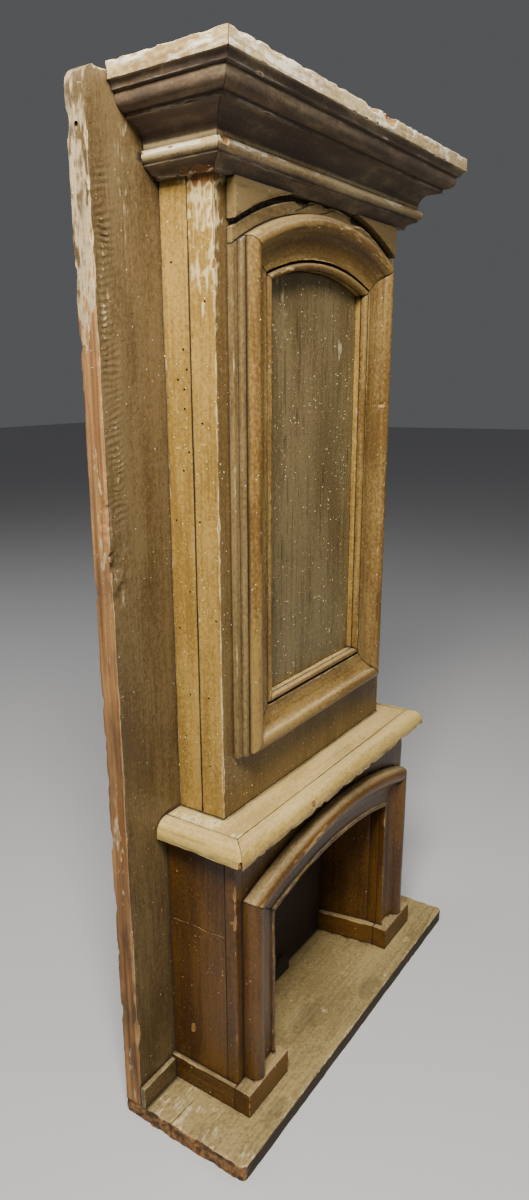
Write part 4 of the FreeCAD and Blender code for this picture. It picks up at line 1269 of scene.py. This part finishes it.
between("overmantel_panel", lambda x: np.full(len(x), panel_low[2]),
        lambda x: arch_at(panel_centre, inset_radius, x),
        rows(panel_low[0], panel_high[0], 2), "panel_paint", panel_green, step=2.4,
        shape=streaked_panel)
head_radius = panel_radius + frame_width
plate_radius = high("arch_plate")[2] - panel_centre
strip_outer = high("outer_strip_right")[0]
plate_face = low("arch_plate")[1]


def plate_cuts(work):
    for x, z, end_x, end_z in ((-34, 566, -12, 573), (-6, 568, 14, 573), (22, 566, 44, 566)):
        split(work, (x, plate_face, z), (end_x, plate_face, end_z), (0, -1, 0), width=0.7,
              depth=1.3)


between("arch_plate", lambda x: arch_at(panel_centre, head_radius, x),
        lambda x: arch_at(panel_centre, plate_radius, x),
        rows(-strip_outer, strip_outer, 1.5), "overmantel_paint", margin, axis=0, step=1.4,
        flakes=[((-26, plate_face, 571), (0, -1, 1), (10, 6, 3), 2.0, 0.1),
                ((4, plate_face, 573.5), (0, -1, 1), (7, 6, 3), 1.6, 0.2),
                ((40, plate_face, 568), (0, -1, 1), (8, 5, 3), 1.4, 0.1)],
        cuts=plate_cuts)
spandrel_foot = low("spandrel_right")[2]
spandrel_radius = math.hypot(strip_outer, spandrel_foot - panel_centre)
for side, sign in SIDES:
    ends = sorted((sign * (abs(low("spandrel_right")[0]) + 0.6), sign * strip_outer))
    between("spandrel_" + side, lambda x: arch_at(panel_centre, spandrel_radius, x),
            lambda x: np.full(len(x), cornice_floor), rows(*ends, 2.2),
            "overmantel_paint", margin, axis=0, step=2.5)
print("boards and panels", len(pieces))

# %% [markdown]
# ## The mouldings
# Each moulding was planed along its length and cut to mitres. The sections are the maker's
# profiles in mm, out from the opening and up off the board. Uprights run between two
# sloping cuts, and heads run round the arch's centre between two mitres.

# %% Profiles
SURROUND = [(0, 0), (0, 5), (2.6, 5), (3.3, 3.4), (10, 3.4), (18.35, 6.2, 13, -1),
            (31.15, 4.3, 6.5, 1), (31.15, 0)]
BEAD = [(0, 0), (0, 2.4), (4.2, 2.4, 2.11, 1), (4.2, 0)]
FRAME = [(FRAME_SETBACK, 0), (FRAME_SETBACK, 3.6), (7, 3.6), (19.6, 7.7, 18, -1),
         (29.5, 6.7, 5, 1), (29.5, 0)]
STRIP = [(29.5, 0), (29.5, 4.8), (29.9, 4.8), (34.5, 4.8, 2.31, 1), (34.5, 4), (39.3, 4),
         (39.3, 0)]
NOSING = [(0, 0), (11, 0), (11, 3.5), (1.5, 13, 9.5, -1), (0, 13)]
CORNICE = [(0, 0), (5, 0), (8, 4, 4.5, 1), (11.5, 5.2), (11.5, 6.5), (11.5, 12.5, 3.01, -1),
           (11.5, 14.5), (21, 24, 9.5, 1), (23.8, 24), (23.8, 26.6), (25.8, 26.6),
           (30.8, 32.6, 5.5, -1), (30.8, 34.4), (32.8, 34.4), (35, 38, 4.5, 1), (36, 38),
           (36, 46), (0, 46)]

# %% Run a moulding


def moulding(name, section, place, length, slot, material, tint=None, **extra):
    """Carry a section along its place.

    tint changes the marks by the place in the section. It gets the places out and up, and
    the same two after the distance run along the moulding.
    """
    skin = skin_of_sweep(trace(section), stations(length), place)
    out, up, share = skin[3:]
    spot = np.stack([share * length, out, up], 1)

    def shape(points, moved, mark):
        if tint is not None:
            tint(out, up, spot, mark)
        return moved

    craft(name, skin[:3], spot, slot, material, shape=shape, **extra)


def crest_wear_and_highlight(start, full, strength):
    """Rub the paint thin where the section stands highest: wear, and a painted highlight on the
    roll.
    """
    def tint(out, up, spot, mark):
        rubbed_crest = strength * fade(-up, -full, -start)
        raise_mark(mark, "wear", rubbed_crest * (0.75 + 0.4 * lumps(spot, (26, 5, 5), 111)))
    return tint


def soffit_shade_and_highlights(out, up, spot, mark):
    """Painted shade in the cornice's hollows and along its foot, painted highlights on its bead
    and two fillets, and a paler rubbed fascia.
    """
    # painted shade in the hollows and along the foot
    hollow = 0.74 * fade(np.abs(up - 26.5), 10.9, 12.4)
    foot = 0.7 * fade(up, 5.2, 7.4) + 0.4 * fade(np.abs(up - 7.3), 0.8, 2.2)
    cloudy = 1 + 0.2 * lumps(spot, (30, 6, 6), 121)
    raise_mark(mark, "crevice", np.maximum(hollow, foot) * cloudy)
    fascia = 0.36 * fade(-up, -39, -37.8)
    raise_mark(mark, "wear", fascia * np.clip(0.8 + 0.5 * lumps(spot, (12, 4, 4), 123), 0, 1.2))
    # painted highlights on the bead and the two fillets
    bead = 0.45 * fade(np.abs(up - 11), 1.2, 2.6) * (out < 15)
    edge = 0.35 * fade(np.abs(up - 25.3), 0.7, 1.3) + 0.3 * fade(np.abs(up - 33.4), 0.7, 1.3)
    broken = np.clip(0.75 + 0.8 * lumps(spot, (9, 4, 4), 122), 0, 1.2)
    raise_mark(mark, "wear", np.maximum(bead, edge) * broken)
    mark["crevice"] *= 1 - np.clip(0.5 * (bead + edge) * broken, 0, 1)


def nose_underside_shade(out, up, spot, mark):
    """The lower half of the shelf's nosing is darkened, as painted shade."""
    low_half = 0.4 * fade(up, 1.5, 8) * (0.9 + 0.35 * lumps(spot, 6, 131))
    raise_mark(mark, "crevice", np.clip(low_half, 0, 1))


def mitre(centre, radius, half, width):
    """Slope of the cut between an upright and its arched head, and its inner height."""
    inner = arch_at(centre, radius, np.array([half]))[0]
    outer = arch_at(centre, radius + width, np.array([half + width]))[0]
    return (outer - inner) / width, inner


def upright(sign, half, face, foot, head):
    def place(out, up, share):
        start, stop = foot(out), head(out)
        return sign * (half + out), face - up, start + share * (stop - start)
    return place


def arched(centre, radius, half, width, face):
    slope, inner = mitre(centre, radius, half, width)

    def place(out, up, share):
        rise = inner - centre
        a = width ** 2 * (1 + slope ** 2)
        b = 2 * width * (half + rise * slope)
        c = half ** 2 + rise ** 2 - (radius + out) ** 2
        run = (-b + np.sqrt(b ** 2 - 4 * a * c)) / (2 * a)
        turn = np.arctan2(half + run * width, rise + run * width * slope) * (2 * share - 1)
        return ((radius + out) * np.sin(turn), face - up, centre + (radius + out) * np.cos(turn))
    return place


plinth_top = high("plinth_front_left")[2]
slope, inner = mitre(opening_centre, opening_radius, opening_half, jamb_width)
for side, sign in SIDES:
    moulding("jamb_moulding_" + side, SURROUND, upright(
        sign, opening_half, surround_face, lambda out: plinth_top,
        lambda out: inner + slope * out), 125, "surround_paint", umber,
        tint=crest_wear_and_highlight(9, 11, 0.16),
        flakes=[((sign * 119, -28.6, 149), (sign * 0.3, -1, 0), (3.5, 3.5, 5.5), 1.5)])
moulding("arch_moulding", SURROUND, arched(
    opening_centre, opening_radius, opening_half, jamb_width, surround_face), 220,
    "surround_paint", umber, tint=crest_wear_and_highlight(8.5, 10.9, 0.40))

slope, inner = mitre(panel_centre, panel_radius, panel_half, frame_width)
for prefix, section, material, tint in (
        ("panel_bead", BEAD, frame_gold, crest_wear_and_highlight(3.2, 4.4, 0.42)),
        ("panel_moulding", FRAME, frame_gold, crest_wear_and_highlight(9.5, 11.6, 0.32))):
    for side, sign in SIDES:
        moulding(prefix + "_" + side, section, upright(
            sign, panel_half, chimney_face, lambda out: panel_floor - out,
            lambda out: inner + slope * out), 280, "overmantel_paint", material, tint=tint,
            flakes=[((sign * 78.6, -8, 457), (-sign, -1, 0), (2.4, 2.4, 1.4), 1.6)]
            if section is FRAME else ())
    moulding(prefix + "_bottom", section, lambda out, up, share: (
        (panel_half + out) * (2 * share - 1), chimney_face - up, panel_floor - out),
        150, "overmantel_paint", material, tint=tint)
    moulding(prefix + "_head", section, arched(
        panel_centre, panel_radius, panel_half, frame_width, chimney_face), 150,
        "overmantel_paint", material, tint=tint)
frame_floor = low("outer_strip_left")[2]
for side, sign in SIDES:
    moulding("outer_strip_" + side, STRIP, upright(
        sign, panel_half, chimney_face, lambda out: frame_floor,
        lambda out: arch_at(panel_centre, head_radius, panel_half + out)), 290,
        "overmantel_paint", margin)

shelf_low, shelf_high = low("shelf_board"), high("shelf_board")


def returned(sign, half, front, floor):
    """A moulding along a side, mitred at its front corner."""
    def place(out, up, share):
        return sign * (half + out), back_face + share * (front - out - back_face), floor + up
    return place


def fronted(half, front, floor):
    def place(out, up, share):
        return (half + out) * (2 * share - 1), front - out, floor + up
    return place


for side, sign in SIDES:
    moulding("shelf_nosing_" + side, NOSING, returned(
        sign, shelf_high[0], shelf_low[1], shelf_low[2]), 64, "shelf_paint", cream,
        tint=nose_underside_shade,
        flakes=[((sign * 131.5, -30, 202), (sign, -1, -0.4), (4, 4, 4), 1.2)])
    moulding("cornice_" + side, CORNICE, returned(
        sign, chimney_half, chimney_face, cornice_floor), 62, "overmantel_paint",
        cornice_paint, tint=soffit_shade_and_highlights,
        flakes=[((sign * 112, 4, 574.5), (sign, 0, -1), (4, 5, 2.5), 0.9),
                ((sign * 124, 35, 589), (sign, 0.3, -0.6), (5, 3, 9), 1.0)]
        + nicks((sign * 110, -4, 574.2), (sign * 110, 34, 574.2), (sign, 0, -1), 9, 3, 0.5,
                20, 0.5)
        + nicks((sign * 144.4, -30, 620), (sign * 144.4, 30, 620), (sign, 0, 1), 8, 4, 0.9, 21))
moulding("shelf_nosing_front", NOSING, fronted(shelf_high[0], shelf_low[1], shelf_low[2]),
         260, "shelf_paint", cream, tint=nose_underside_shade,
         flakes=[((5, -29, 209), (0, -1, 1), (3, 3, 3), 0.8),
                 ((-48, -30.5, 205), (0, -1, 0.3), (3, 3, 4), 0.9)]
         + nicks((-128, -30.8, 200), (128, -30.8, 200), (0, -1, -1), 14, 3, 0.8, 22))
moulding("cornice_front", CORNICE, fronted(chimney_half, chimney_face, cornice_floor), 280,
         "overmantel_paint", cornice_paint, tint=soffit_shade_and_highlights,
         flakes=[((-4, -36.5, 620), (0, -1, 1), (11, 8, 6), 2.6, 0.45),
                 ((20, -36.5, 617), (0, -1, 0.8), (8, 6, 5), 1.6, 0.35),
                 ((-116.5, -12.8, 585), (-0.2, -1, 0), (2.6, 2.6, 1.8), 0.8)]
         + nicks((-140, -36.5, 620), (140, -36.5, 620), (0, -1, 1), 22, 5, 0.9, 23)
         + nicks((-140, -36.5, 612.2), (140, -36.5, 612.2), (0, -1, -1), 12, 4, 0.7, 24))
print("all pieces", len(pieces), "of", len(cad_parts))

# %% [markdown]
# ## Nibs in the paint, and nails in the back
# Dust and bits of brush set into the old paint as raised nibs. They could be moulded one
# by one, but thousands of them are scattered over each skin by Geometry Nodes instead: a
# point on the skin, a flattened drop on the point, and fewer drops where the crevice mark
# of dirt and painted shade is high. The six nails are one nail set on six points in the
# same way.

# %% Finish a tree and bake it


def finish_tree(tree, instances, given, result):
    """Make the instances real, smooth and coated."""
    real = add(tree, "GeometryNodeRealizeInstances", {0: instances}).outputs[0]
    smooth = add(tree, "GeometryNodeSetShadeSmooth", {"Geometry": real}).outputs[0]
    coated = add(tree, "GeometryNodeSetMaterial",
                 {"Geometry": smooth, "Material": given["Finish"]}).outputs[0]
    tree.links.new(coated, result["Geometry"])


def bake(name, mesh, tree, values, node):
    """Run a tree over a mesh and keep what it makes as a plain piece."""
    carrier = bpy.data.objects.new(name + "_carrier", mesh)
    bpy.context.scene.collection.objects.link(carrier)
    repeat = carrier.modifiers.new("repeat", "NODES")
    repeat.node_group = tree
    for item in tree.interface.items_tree:
        if item.in_out == "INPUT" and item.name in values:
            repeat[item.identifier] = values[item.name]
    shape = carrier.evaluated_get(bpy.context.evaluated_depsgraph_get())
    baked = bpy.data.meshes.new_from_object(shape)
    spots = np.empty(len(baked.vertices) * 3)
    baked.vertices.foreach_get("co", spots)
    spots = np.clip(spots.reshape(-1, 3), np.array(cad_box[0]), np.array(cad_box[1]))
    baked.vertices.foreach_set("co", spots.ravel())
    carrier.modifiers.remove(repeat)
    bpy.data.objects.remove(carrier)
    return stand_for(name, baked, node)


def plain(name, colour, rough, metal=0.0):
    """A plain finish for a small thing."""
    material = bpy.data.materials.new(name)
    material.use_nodes = True
    shader = material.node_tree.nodes["Principled BSDF"]
    shader.inputs["Base Color"].default_value = (*colour, 1)
    shader.inputs["Roughness"].default_value = rough
    shader.inputs["Metallic"].default_value = metal
    return material


# %% [markdown]
# The nibs' tree takes a skin, scatters points on it, thinner where the crevice mark of
# dirt and painted shade is high, and sets a flattened drop on each. Most drops are small,
# because the size is a random number raised to a power.

# %% Paint nibs
NIB_RARITY = 2.5     # the higher, the fewer large ones
NIB_LEAST = 0.3      # the smallest nib, as a share of the largest
NIB_FLATNESS = 0.55
nib_tree, given, result = new_group(
    "Paint_nibs", {"Geometry": "g", "Finish": "m", "Per square metre": "f", "Largest": "f",
                   "Seed": "i"}, {"Geometry": "g"}, "GeometryNodeTree")
dirt_and_shade_level = add(nib_tree, "GeometryNodeInputNamedAttribute", {"Name": "crevice"},
            data_type="FLOAT").outputs["Attribute"]
clear = add(nib_tree, "ShaderNodeMapRange",
            {"Value": dirt_and_shade_level, "From Min": 0.05, "From Max": 0.45, "To Min": 1.0, "To Max": 0.0},
            clamp=True).outputs["Result"]
scattered = add(nib_tree, "GeometryNodeDistributePointsOnFaces",
                {"Mesh": given["Geometry"], "Seed": given["Seed"],
                 "Density": times(nib_tree, clear, given["Per square metre"])}).outputs
lot = add(nib_tree, "FunctionNodeRandomValue", {2: 0.0, 3: 1.0, "Seed": given["Seed"]},
          data_type="FLOAT").outputs[1]
share = add(nib_tree, "ShaderNodeMapRange",
            {"Value": reckon(nib_tree, "POWER", lot, NIB_RARITY), "To Min": NIB_LEAST,
             "To Max": 1.0}).outputs["Result"]
radius = times(nib_tree, share, given["Largest"])
squashed = add(nib_tree, "ShaderNodeCombineXYZ",
               {0: radius, 1: radius, 2: times(nib_tree, radius, NIB_FLATNESS)}).outputs[0]
drop = add(nib_tree, "GeometryNodeMeshIcoSphere", {"Radius": 1.0, "Subdivisions": 2}).outputs[0]
placed = add(nib_tree, "GeometryNodeInstanceOnPoints",
             {"Points": scattered["Points"], "Instance": drop,
              "Rotation": scattered["Rotation"], "Scale": squashed}).outputs[0]
finish_tree(nib_tree, placed, given, result)

# nibs to the square metre, and the largest radius in mm
NIBS = {"chimney_side_left": (26000, 0.5), "chimney_front": (18000, 0.5),
        "overmantel_panel": (16000, 0.52), "backboard": (5000, 0.48),
        "body_side_left": (9000, 0.42), "chimney_side_right": (9000, 0.4),
        "panel_moulding_left": (12000, 0.42), "panel_moulding_right": (9000, 0.36),
        "panel_moulding_head": (9000, 0.36), "shelf_board": (4000, 0.35),
        "shelf_nosing_front": (6000, 0.38), "arch_moulding": (6000, 0.36),
        "jamb_moulding_left": (9000, 0.34), "base_board": (5000, 0.38)}
# Nibs are paler than the paint they sit on, as dust and as painted glints.
NIB_GLINT_COLOURS = {"umber": (0.34, 0.22, 0.08), "pale": (0.60, 0.47, 0.22)}
nib_glint_finishes = {tone: plain("nib_" + tone, colour, 0.35) for tone, colour in NIB_GLINT_COLOURS.items()}
for number, (host, (per_area, largest)) in enumerate(NIBS.items()):
    mesh = pieces[host].data
    tone = "umber" if mesh.materials[0] in (umber, khaki) else "pale"
    sown = bake(host + "_nibs", mesh, nib_tree,
                {"Finish": nib_glint_finishes[tone], "Per square metre": float(per_area),
                 "Largest": largest * MM, "Seed": number + 1}, host)
    print(host, "nibs", len(sown.data.polygons))

# %% [markdown]
# A nail is a low cone for the head and a cylinder for the shank. The tree builds one and
# sets it on six points, turned so that the heads face backwards.

# %% Nails
nail_tree, given, result = new_group(
    "Nails", {"Geometry": "g", "Finish": "m", "Head radius": "f", "Head depth": "f",
              "Shank radius": "f", "Shank length": "f"}, {"Geometry": "g"},
    "GeometryNodeTree")
head = add(nail_tree, "GeometryNodeMeshCone",
           {"Vertices": 20, "Side Segments": 2, "Radius Top": MM,
            "Radius Bottom": given["Head radius"],
            "Depth": given["Head depth"]}).outputs["Mesh"]
shank = add(nail_tree, "GeometryNodeMeshCylinder",
            {"Vertices": 10, "Radius": given["Shank radius"],
             "Depth": given["Shank length"]}).outputs["Mesh"]
sunk = add(nail_tree, "ShaderNodeCombineXYZ",
           {2: times(nail_tree, given["Shank length"], -0.5)}).outputs[0]
lowered = add(nail_tree, "GeometryNodeTransform", {"Geometry": shank, "Translation": sunk})
whole = add(nail_tree, "GeometryNodeJoinGeometry")
nail_tree.links.new(head, whole.inputs[0])
nail_tree.links.new(lowered.outputs[0], whole.inputs[0])
set_nails = add(nail_tree, "GeometryNodeInstanceOnPoints",
                {"Points": given["Geometry"], "Instance": whole.outputs[0],
                 "Rotation": (math.radians(-90), 0, 0)}).outputs[0]
finish_tree(nail_tree, set_nails, given, result)

nails_low, nails_high = low("backboard_nails"), high("backboard_nails")
NAIL_HEAD, NAIL_HEAD_DEPTH = 2.2, 0.5
NAIL_SHANK, NAIL_LENGTH = 0.9, 23.5
NAIL_INSET = 2.3  # from the edge of the nails' box to the middle of a head
nail_across = nails_high[0] - NAIL_INSET
nail_heights = (nails_low[2] + NAIL_INSET, (nails_low[2] + nails_high[2]) / 2,
                nails_high[2] - NAIL_INSET)
nail_points = bpy.data.meshes.new("nail_points")
nail_points.from_pydata([(sign * nail_across * MM, (nails_high[1] - NAIL_HEAD_DEPTH) * MM,
                          z * MM) for sign in (-1, 1) for z in nail_heights], [], [])
bake("backboard_nails_set", nail_points, nail_tree,
     {"Finish": plain("old_iron", (0.09, 0.045, 0.025), 0.6, 0.6),
      "Head radius": NAIL_HEAD * MM, "Head depth": NAIL_HEAD_DEPTH * MM,
      "Shank radius": NAIL_SHANK * MM, "Shank length": NAIL_LENGTH * MM},
     "backboard_nails")
print("nails", len(nail_points.vertices))

# %% [markdown]
# ## Stage, light and camera
# Old paint shows its brush marks and chips only when light crosses them. One could light
# the mantel evenly, but a small lamp close to the upper left keeps dark shadows under the
# mouldings, and three larger weak ones fill what it leaves black. The floor is a plain pale
# square. The lens is a short one held near, which makes the top loom and the foot shrink.

# %% Floor and lights
FLOOR = 8
floor_mesh = bpy.data.meshes.new("floor_mesh")
floor_mesh.from_pydata([(-FLOOR, -FLOOR, 0), (FLOOR, -FLOOR, 0), (FLOOR, FLOOR, 0),
                        (-FLOOR, FLOOR, 0)], [], [(0, 1, 2, 3)])
floor_mesh.materials.append(plain("pale_floor", (0.50, 0.50, 0.51), 0.5))
floor_piece = bpy.data.objects.new("floor", floor_mesh)
bpy.context.scene.collection.objects.link(floor_piece)

world = bpy.data.worlds.new("soft_room")
world.use_nodes = True
background = world.node_tree.nodes["Background"].inputs
background["Color"].default_value = (0.86, 0.87, 0.90, 1)
background["Strength"].default_value = 0.11
bpy.context.scene.world = world


def soft_light(name, place, target, size, power, colour):
    lamp = bpy.data.lights.new(name, "AREA")
    lamp.shape, lamp.size, lamp.energy, lamp.color = "SQUARE", size, power, colour
    holder = bpy.data.objects.new(name, lamp)
    holder.location = place
    holder.rotation_euler = (Vector(target) - Vector(place)).to_track_quat("-Z", "Y").to_euler()
    bpy.context.scene.collection.objects.link(holder)


soft_light("key", (-0.52, -0.26, 0.98), (-0.06, 0, 0.44), 0.26, 20, (1, 0.95, 0.87))
soft_light("behind", (-0.5, 1.7, 1.2), (0, 0, 0.3), 1.2, 12, (0.95, 0.97, 1))
soft_light("fill", (0.5, -1.8, 0.9), (0, 0, 0.3), 1.2, 3.5, (0.92, 0.96, 1))
soft_light("rim", (0.7, -0.35, 1.2), (0, 0, 0.5), 0.5, 3.5, (1, 0.98, 0.95))

print("lights", len(bpy.data.lights))

# %% Camera
CAMERA_PLACE = (-0.48196, -0.27237, 0.47265)
CAMERA_AHEAD = Vector((0.7798, 0.5574, -0.2849)).normalized()
CAMERA_ROLL = math.radians(-0.906)
IMAGE_WIDTH, IMAGE_HEIGHT = 529, 1200
FOCAL_PIXELS = 830.2
PRINCIPAL = (227.7, 630.5)
SENSOR = 36.0
side_way = CAMERA_AHEAD.cross(Vector((0, 0, 1))).normalized()
up_way = side_way.cross(CAMERA_AHEAD)
turned_side = side_way * math.cos(CAMERA_ROLL) + up_way * math.sin(CAMERA_ROLL)
turned_up = -side_way * math.sin(CAMERA_ROLL) + up_way * math.cos(CAMERA_ROLL)
lens = bpy.data.cameras.new("camera")
lens.sensor_width = SENSOR
lens.lens = FOCAL_PIXELS / IMAGE_HEIGHT * SENSOR
lens.shift_x = (IMAGE_WIDTH / 2 - PRINCIPAL[0]) / IMAGE_HEIGHT
lens.shift_y = (PRINCIPAL[1] - IMAGE_HEIGHT / 2) / IMAGE_HEIGHT
lens.clip_start = 0.01
camera = bpy.data.objects.new("camera", lens)
turn = Matrix((turned_side, turned_up, -CAMERA_AHEAD)).transposed().to_4x4()
camera.matrix_world = Matrix.Translation(CAMERA_PLACE) @ turn
bpy.context.scene.collection.objects.link(camera)
bpy.context.scene.camera = camera
print("lens in mm", round(lens.lens, 1))
